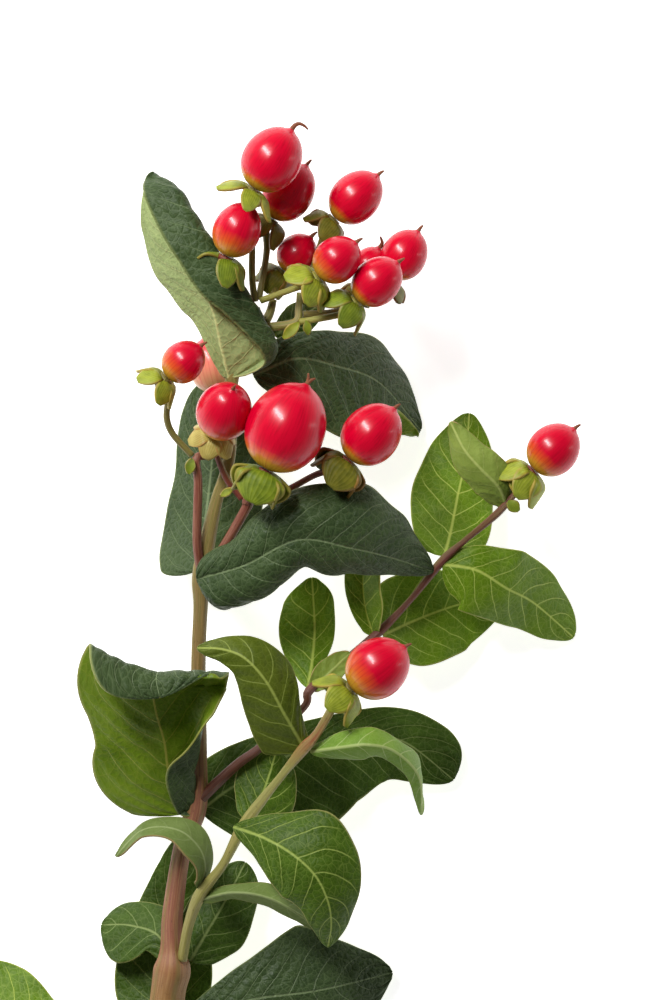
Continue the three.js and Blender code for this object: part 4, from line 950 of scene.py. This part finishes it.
# %% Berry table
# at is a berry's middle, to the way its style points, and size its width and length. green is how
# much of its length is unripe, pale marks a half ripe skin, and lobes is how deep the seams cut
# near the base, as a share of the radius. styles lists the dried threads of an unusual berry, each
# by its points past the tip, as [along, aside, up].
BERRIES = [
    {"at": [23.9, 172.6, 37], "to": [0.55, 0.83, 0.15], "size": [10.6, 12.4], "green": 0.12,
     "styles": [[[0, 0, 0], [1.4, 0, 0], [2.2, 0.5, 0], [2.4, 1.5, 0], [2.2, 2.4, 0]]]},
    {"at": [26.9, 166.9, 27], "to": [0.52, 0.8, 0.1], "size": [8.9, 11.2], "green": 0.12},
    {"at": [17.6, 160, 35], "to": [0.38, 0.88, 0.2], "size": [8.6, 10.2], "green": 0.45},
    {"at": [38.9, 166, 28], "to": [0.7, 0.7, 0.1], "size": [8.8, 10.8], "green": 0.12},
    {"at": [28.3, 155.9, 24], "to": [0.6, 0.7, 0.2], "size": [7, 7.8], "green": 0.2},
    {"at": [35.5, 154.7, 35], "to": [0.7, 0.62, 0.25], "size": [8.2, 9.2], "green": 0.4},
    {"at": [42.7, 150.8, 33], "to": [0.72, 0.65, 0.2], "size": [8.4, 10], "green": 0.16},
    {"at": [47.6, 155.7, 24], "to": [0.5, 0.85, 0.1], "size": [8.2, 9.6], "green": 0.14},
    {"at": [41.4, 153.6, 23], "to": [0.4, 0.85, 0.1], "size": [6.6, 7.4], "green": 0.2,
     "styles": [[[0, 0, 0], [1.4, 0.2, 0.1], [2.4, -0.6, 0.2]]]},
    {"at": [8, 136.4, 33], "to": [0.68, 0.62, 0.25], "size": [7.4, 8.3], "green": 0.5},
    {"at": [12.9, 135.9, 16], "to": [-0.2, 0.9, 0.1], "size": [8.4, 10.2],
     "green": 0.9, "pale": True},
    {"at": [15.3, 127.6, 35], "to": [0.25, 0.62, 0.7], "size": [10, 11.6], "green": 0.4},
    {"at": [26.4, 124.6, 37], "to": [0.42, 0.88, 0.15], "size": [14.3, 16.7],
     "green": 0.16, "lobes": 0.045,
     "styles": [[[0, 0, 0], [1.4, 0.2, 0], [2.3, 0.9, 0]],
                [[0, 0, 0], [1.4, -0.1, 0], [2.6, -0.6, 0]]]},
    {"at": [41.7, 123.4, 33], "to": [0.66, 0.74, 0.15], "size": [10.3, 12.1], "green": 0.12},
    {"at": [74.5, 120.7, 21], "to": [0.7, 0.7, 0.15], "size": [9.1, 10.3], "green": 0.35},
    {"at": [42.8, 81.5, 31], "to": [0.78, 0.6, 0.2], "size": [10.8, 12.2], "green": 0.42},
]

# %% Berry shape
BERRY_ROWS = 40
BERRY_COLUMNS = 54
FIRST_SEAM = 0.7  # radians from the viewer
SEAM_WIDTH = 0.2  # radians
SEAM_DEPTH = 0.014  # share of the radius
EGG = 0.06  # how much fuller a berry is near its base than near its tip, as a share of the radius
BEAK = 0.5  # mm


def berry_frame(berry):
    """A berry's way out to the style, its side to the viewer, its right, and its base."""
    out = np.array(berry["to"]) / np.linalg.norm(berry["to"])
    front = np.array([0, 0, 1]) - out * out[2]
    front = front / np.linalg.norm(front)
    return out, front, np.cross(out, front), np.array(berry["at"]) - out * berry["size"][1] / 2


def berry_shape(berry):
    """A shaping function for an egg-shaped berry with three seams and a small beak."""
    out, front, right, base = berry_frame(berry)
    width, length = berry["size"]

    def shape(across, up_the_berry):
        turn = math.pi * up_the_berry
        angle = -2 * math.pi * across
        radius = width / 2 * np.sin(turn) * (1 + EGG * np.cos(turn))
        gap = np.abs((angle - FIRST_SEAM) % (2 * math.pi / 3) - math.pi / 3)
        depth = SEAM_DEPTH + berry.get("lobes", 0.0) * (1 - smooth(up_the_berry, 0.05, 0.5))
        radius = radius * (1 - depth * np.exp(-(gap / SEAM_WIDTH) ** 2))
        reach = (1 - np.cos(turn)) / 2 * length + BEAK * smooth(up_the_berry, 0.93, 1.0)
        points = (base + out * reach[:, None] + front * (radius * np.cos(angle))[:, None]
                  + right * (radius * np.sin(angle))[:, None])
        ripeness = (reach / length - 0.1) / berry["green"]
        return points, {"skin": np.stack([across * 3, ripeness], -1)}

    return shape


# %% Grow the berries
PLAIN_STYLE = [[0, 0, 0], [1, 0, 0.1], [1.9, 0.2, 0.1]]
STYLE_ROOT, STYLE_END = 0.5, 0.16  # the thread's radius where it starts and ends, mm
STYLE_SINK = 0.4  # how far it starts below the tip, mm
STYLE_COLUMNS, STYLE_ROWS = 8, 6

for i, berry in enumerate(BERRIES):
    name = f"berry_{i + 1:02d}"
    skin = pale_skin if berry.get("pale") else ripe_skin
    parts = [shaped_grid(name + "_skin", BERRY_COLUMNS, BERRY_ROWS, berry_shape(berry), [skin])]
    out, front, right, base = berry_frame(berry)
    tip = base + out * (berry["size"][1] - STYLE_SINK)
    for thread in berry.get("styles", [PLAIN_STYLE]):
        radii = np.linspace(STYLE_ROOT, STYLE_END, len(thread))
        line = [[*(tip + out * along + right * aside + front * up), radius]
                for (along, aside, up), radius in zip(thread, radii)]
        rows = tube_rows(line, STYLE_ROWS)
        parts.append(shaped_grid(name + "_style", STYLE_COLUMNS, rows, tube_shape(line, rows),
                                 [dry_style]))
    dress(joined(parts, name + "_fruit"), name)
print("berries:", len(BERRIES))

# %% [markdown]
# ## Calyxes
#
# Under each berry sit five leafy sepals on a small cup, bent back by the swelling fruit. They are
# firm and smooth with fine lines along them. A sepal is a small cupped sheet, given its thickness
# by a modifier; the cup and the stalk below it are one tube.

# %% Sepal finishes
SEPAL_RELIEF = 0.03  # height of its fine lines, mm


def sepal_finish(title, deep, bright, line, rim):
    """A firm green sepal with fine lines from base to tip and a paler rim."""
    material, tree, shader = new_material(title)
    mm = add(tree, "ShaderNodeUVMap", uv_map="mm")
    veins = add(tree, "ShaderNodeSeparateXYZ", {0: add(tree, "ShaderNodeUVMap", uv_map="veins")})
    edge_share = veins.node.outputs[1]
    wobble = add(tree, "ShaderNodeTexNoise", {"Vector": mm, "Scale": 0.5, "Detail": 3.0}, out="Fac")
    wave = add(tree, "ShaderNodeMath", {0: wobble, 1: 2.0, 2: veins}, operation="MULTIPLY_ADD")
    wave = add(tree, "ShaderNodeMath", {0: wave}, operation="SINE")
    lines = add(tree, "ShaderNodeMapRange", {0: wave, 1: 0.3, 2: 1.0, 4: 0.28},
                interpolation_type="SMOOTHSTEP")
    patches = add(tree, "ShaderNodeMapRange", {0: wobble, 1: 0.35, 2: 0.65})
    colour = add(tree, "ShaderNodeMix", {0: patches, 6: linear(deep), 7: linear(bright)}, out=2,
                 data_type="RGBA")
    colour = add(tree, "ShaderNodeMix", {0: lines, 6: colour, 7: linear(line)}, out=2,
                 data_type="RGBA")
    margin = add(tree, "ShaderNodeMapRange", {0: edge_share, 1: 0.8, 2: 1.0, 4: 0.7})
    colour = add(tree, "ShaderNodeMix", {0: margin, 6: colour, 7: linear(rim)}, out=2,
                 data_type="RGBA")
    tree.links.new(colour, shader.inputs["Base Color"])
    bump = add(tree, "ShaderNodeBump", {"Height": wave, "Distance": SEPAL_RELIEF * MM,
                                        "Strength": 0.5}, out="Normal")
    tree.links.new(bump, shader.inputs["Normal"])
    shader.inputs["Roughness"].default_value = 0.48
    shader.inputs["IOR"].default_value = 1.45
    shader.inputs["Specular IOR Level"].default_value = 0.35
    return material


SEPALS = {
    "yellow": sepal_finish("yellow-green sepal", "#76831a", "#9aa42c", "#aeb04c", "#b09044"),
    "green": sepal_finish("green sepal", "#56690f", "#7c8c1e", "#99a43c", "#94803a"),
    "olive": sepal_finish("olive sepal", "#585a10", "#7c7820", "#8e8838", "#8a5a2c"),
    "straw": sepal_finish("straw sepal", "#9c8a40", "#b9aa5c", "#c4b878", "#b07840"),
}
# over the usual range of a metre, a stalk shows its first colour and a trace of its second
STALKS = {
    "yellow": bark_finish("yellow-green stalk", [(0.0, "#8e8a34"), (1.0, "#9a983c")], "#b3ad60"),
    "olive": bark_finish("olive stalk", [(0.0, "#6e6428"), (1.0, "#77702c")], "#98884a"),
    "red": bark_finish("dark red stalk", [(0.0, "#6a2418"), (1.0, "#7d3322")], "#9a5a3c"),
}
print("sepal finishes:", ", ".join(SEPALS), "; stalks:", ", ".join(STALKS))

# %% Calyx table
# In the berries' order. turns says where the five sepals stand round the berry, in degrees, 0
# towards the viewer and 90 to its right, seen with the style up. reflex is how far a sepal turns
# back from the way the style points, in degrees, and sepal its width and length. finish names the
# sepals' finish and stem the stalk's. stalk is the stalk's line, from the cup down to its branch.
CALYXES = [
    {"turns": [70, 10, 300, 234, 162], "reflex": 108, "sepal": [3.8, 6.5],
     "finish": "yellow", "stem": "olive",
     "stalk": [[20.2, 160, 29], [20.2, 152, 28], [20.7, 147.2, 28]]},
    {"turns": [270, 342, 54, 126, 198], "reflex": 143, "sepal": [3.8, 6],
     "finish": "olive", "stem": "olive",
     "stalk": [[22.8, 156, 26], [21.4, 147.6, 27.6]]},
    {"turns": [75, 22, 130, 190, 248], "reflex": 125, "sepal": [4.6, 6.8],
     "finish": "green", "stem": "red",
     "stalk": [[17.8, 150.5, 31], [20.1, 147, 28.6]]},
    {"turns": [88, 12, 292, 222, 155], "reflex": 134, "sepal": [4.5, 5.5],
     "finish": "olive", "stem": "olive",
     "stalk": [[32.5, 157.5, 26], [30.4, 151, 25.5], [29, 149.6, 26]]},
    {"turns": [0, 72, 144, 216, 288], "reflex": 155, "sepal": [4.6, 5.6],
     "finish": "olive", "stem": "olive",
     "stalk": [[24.6, 150, 24.5], [24, 148.4, 26]]},
    {"turns": [314, 28, 84, 240, 165], "reflex": 124, "sepal": [5.8, 6.2],
     "finish": "yellow", "stem": "yellow",
     "stalk": [[28.3, 149.7, 31], [21.8, 147.4, 28.6]]},
    {"turns": [310, 250, 20, 95, 175], "reflex": 135, "sepal": [4.8, 6.4],
     "finish": "green", "stem": "yellow",
     "stalk": [[36, 144.9, 30], [31.4, 144, 28.6], [28.8, 143.6, 27.8]]},
    {"turns": [264, 337, 48, 123, 195], "reflex": 114, "sepal": [4, 5],
     "finish": "olive", "stem": "olive",
     "stalk": [[42, 147.5, 22], [35, 145.4, 25], [29.4, 145, 26.4]]},
    {"turns": [270, 342, 54, 126, 198], "reflex": 130, "sepal": [3, 4],
     "finish": "olive", "stem": "olive",
     "stalk": [[38, 148, 22], [33, 147.4, 24], [29.4, 147.4, 26.2]]},
    {"turns": [90, 34, 316, 258, 170], "reflex": 125, "sepal": [4.2, 5.4],
     "finish": "yellow", "stem": "olive",
     "stalk": [[5, 130, 29.6], [4.9, 126.3, 27.5], [6, 123.4, 26], [9.4, 119.6, 25]]},
    {"turns": [90, 20, 310, 240, 165], "reflex": 150, "sepal": [3.6, 6],
     "finish": "yellow", "stem": "olive",
     "stalk": [[13.4, 125, 17], [12.6, 120.6, 23.4]]},
    {"turns": [0, 60, 300, 125, 235], "reflex": 118, "sepal": [4.2, 4.8],
     "finish": "straw", "stem": "red",
     "stalk": [[13.8, 120, 28.5], [15.6, 115.5, 26.5], [18.4, 111.8, 26]]},
    {"turns": [0, 98, 262, 146, 214], "reflex": 150, "sepal": [9.6, 7.8],
     "finish": "green", "stem": "red",
     "stalk": [[20.2, 112.4, 28.4]]},
    {"turns": [8, 104, 270, 148, 222], "reflex": 142, "sepal": [8.2, 7.2],
     "finish": "olive", "stem": "red",
     "stalk": [[31.8, 116.2, 29], [26.5, 113.4, 27], [20.8, 111.2, 26]]},
    {"turns": [312, 14, 68, 250, 165], "reflex": 136, "sepal": [5.8, 7.2],
     "finish": "yellow", "stem": "red",
     "stalk": [[68.4, 114, 20.4], [67.9, 113.2, 20.8]]},
    {"turns": [70, 2, 288, 215, 142], "reflex": 130, "sepal": [5.6, 7],
     "finish": "yellow", "stem": "olive",
     "stalk": [[35.4, 75.4, 29.3]]},
]

# Bracts are the small leaves at a fork, and each belongs to the calyx that it numbers. It starts
# at a point, heads along "to" and bends down by droop degrees. size is its width and length.
BRACTS = [
    {"calyx": 15, "at": [66.2, 111.3, 22.2], "to": [0.75, -0.6, 0.25],
     "size": [2.2, 2.6], "droop": 30, "finish": "green"},
    {"calyx": 15, "at": [68.2, 112.6, 22.2], "to": [-0.1, 0.95, 0.3],
     "size": [3.2, 4], "droop": 50, "finish": "yellow"},
    {"calyx": 10, "at": [9.4, 119, 26.2], "to": [-0.2, -0.9, 0.2],
     "size": [1.9, 2.8], "droop": 30, "finish": "green"},
    {"calyx": 12, "at": [16.6, 113.6, 27.4], "to": [-0.8, -0.5, 0.2],
     "size": [1.4, 2.4], "droop": 30, "finish": "yellow"},
    {"calyx": 7, "at": [28.6, 143.4, 28.8], "to": [-0.6, -0.6, 0.3],
     "size": [2, 4], "droop": 40, "finish": "yellow"},
    {"calyx": 7, "at": [30, 143.8, 29], "to": [0.1, -0.9, 0.2],
     "size": [1.5, 2.6], "droop": 40, "finish": "green"},
]

# %% Sepal shape
SEPAL_ROWS = 16
SEPAL_COLUMNS = 12
SEPAL_WALL = 0.5
SEPAL_LINES = 10  # fine lines across a sepal
NARROW_SEPAL = 0.12  # its width at the ends, as a share of its full width
CUPPING = 0.16  # how far its edges rise, as a share of the half width
EDGE_WAVE = 0.12  # height of the waves in its edges, mm
SEPAL_START = 60  # slope of a sepal where it leaves the cup, in degrees from the style's way
OVERBEND = 25  # how much further than its reflex its tip is bent, in degrees
BEND_RATE = 2.2  # a sepal has its full bend after its length divided by this
SEPAL_DROP, SEPAL_REACH = 0.85, 0.8  # where it starts: below the berry, and out from its axis, mm


def cupped_sheet(start, forward, side, size, wave):
    """A shaping function for a cupped sheet.

    Forward is where each of its rows heads, and wave is where its edges' waves begin.
    """
    width, length = size
    share = np.arange(SEPAL_ROWS + 1) / SEPAL_ROWS
    face = np.cross(side, forward)
    steps = np.concatenate([[np.zeros(3)], forward[:-1] * length / SEPAL_ROWS])
    middle = start + np.cumsum(steps, axis=0)
    rounded = np.sin(math.pi * (0.05 + 0.9 * share)) ** 0.8
    half = width / 2 * np.maximum(NARROW_SEPAL, rounded)

    def shape(across, up_the_sheet):
        row = np.rint(up_the_sheet * SEPAL_ROWS).astype(int)
        place = 2 * across - 1
        cup = CUPPING * half[row] * place ** 2 + EDGE_WAVE * np.sin(5 * up_the_sheet + wave) * place
        points = middle[row] - side * (place * half[row])[:, None] + face[row] * cup[:, None]
        maps = {
            "mm": np.stack([place * half[row], up_the_sheet * length + wave * 7], -1),
            "veins": np.stack([place * math.pi * SEPAL_LINES, np.abs(place)], -1),
        }
        return points, maps

    return shape


def sepal_shape(calyx, turn, base, out, front, right):
    """The sheet of one sepal, which leaves the cup sideways, then bends back."""
    turn = math.radians(turn)
    away = front * math.cos(turn) + right * math.sin(turn)
    share = np.arange(SEPAL_ROWS + 1) / SEPAL_ROWS
    bend = calyx["reflex"] + OVERBEND - SEPAL_START
    slope = np.radians(SEPAL_START + bend * np.minimum(1, BEND_RATE * share))[:, None]
    forward = out * np.cos(slope) + away * np.sin(slope)
    start = base - out * SEPAL_DROP + away * SEPAL_REACH
    return cupped_sheet(start, forward, np.cross(out, away), calyx["sepal"], turn)


def bract_shape(bract):
    """The sheet of one bract, which heads off sideways and droops."""
    to = np.array(bract["to"]) / np.linalg.norm(bract["to"])
    side = np.cross(to, [0, 0, 1])
    side = side / np.linalg.norm(side)
    down = np.cross(to, side)
    share = np.arange(SEPAL_ROWS + 1) / SEPAL_ROWS
    slope = np.radians(bract["droop"]) * share[:, None]
    forward = to * np.cos(slope) + down * np.sin(slope)
    return cupped_sheet(np.array(bract["at"]), forward, side, bract["size"], bract["droop"])


# %% Grow the calyxes
CUP_RADIUS = 1.3
STALK_RADIUS = 0.6
# the cup under each berry: how far below the berry, and how thick, in mm
CUP = [(0.1, CUP_RADIUS), (1.1, CUP_RADIUS), (2.2, STALK_RADIUS + 0.15)]
STALK_COLUMNS, STALK_ROWS = 14, 8

for i, (calyx, berry) in enumerate(zip(CALYXES, BERRIES)):
    name = f"calyx_{i + 1:02d}"
    out, front, right, base = berry_frame(berry)
    line = [[*(base - out * drop), radius] for drop, radius in CUP]
    line += [[*place, STALK_RADIUS] for place in calyx["stalk"]]
    rows = tube_rows(line, STALK_ROWS)
    parts = [shaped_grid(name + "_stalk", STALK_COLUMNS, rows, tube_shape(line, rows),
                         [STALKS[calyx["stem"]]])]
    for turn in calyx["turns"]:
        shape = sepal_shape(calyx, turn, base, out, front, right)
        parts.append(shaped_grid(name + "_sepal", SEPAL_COLUMNS, SEPAL_ROWS, shape,
                                 [SEPALS[calyx["finish"]]], wall=SEPAL_WALL))
    for bract in BRACTS:
        if bract["calyx"] == i + 1:
            parts.append(shaped_grid(name + "_bract", SEPAL_COLUMNS, SEPAL_ROWS, bract_shape(bract),
                                     [SEPALS[bract["finish"]]], wall=SEPAL_WALL))
    dress(joined(parts, name + "_sepals"), name)
print("calyxes:", len(CALYXES), "each with", len(CALYXES[0]["turns"]), "sepals")
print("bracts:", len(BRACTS))

# %% [markdown]
# ## Size
#
# The skins must not outgrow the solids they stand for, so the two boxes are printed one after
# the other before the scene is finished.

# %% Print the sizes and finish
sizes = {"cad": [list(corner) for corner in cad_box],
         "visual": [list(corner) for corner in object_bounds()]}
for title, box in sizes.items():
    print(title, "box in mm:", [[round(v / MM, 1) for v in corner] for corner in box])
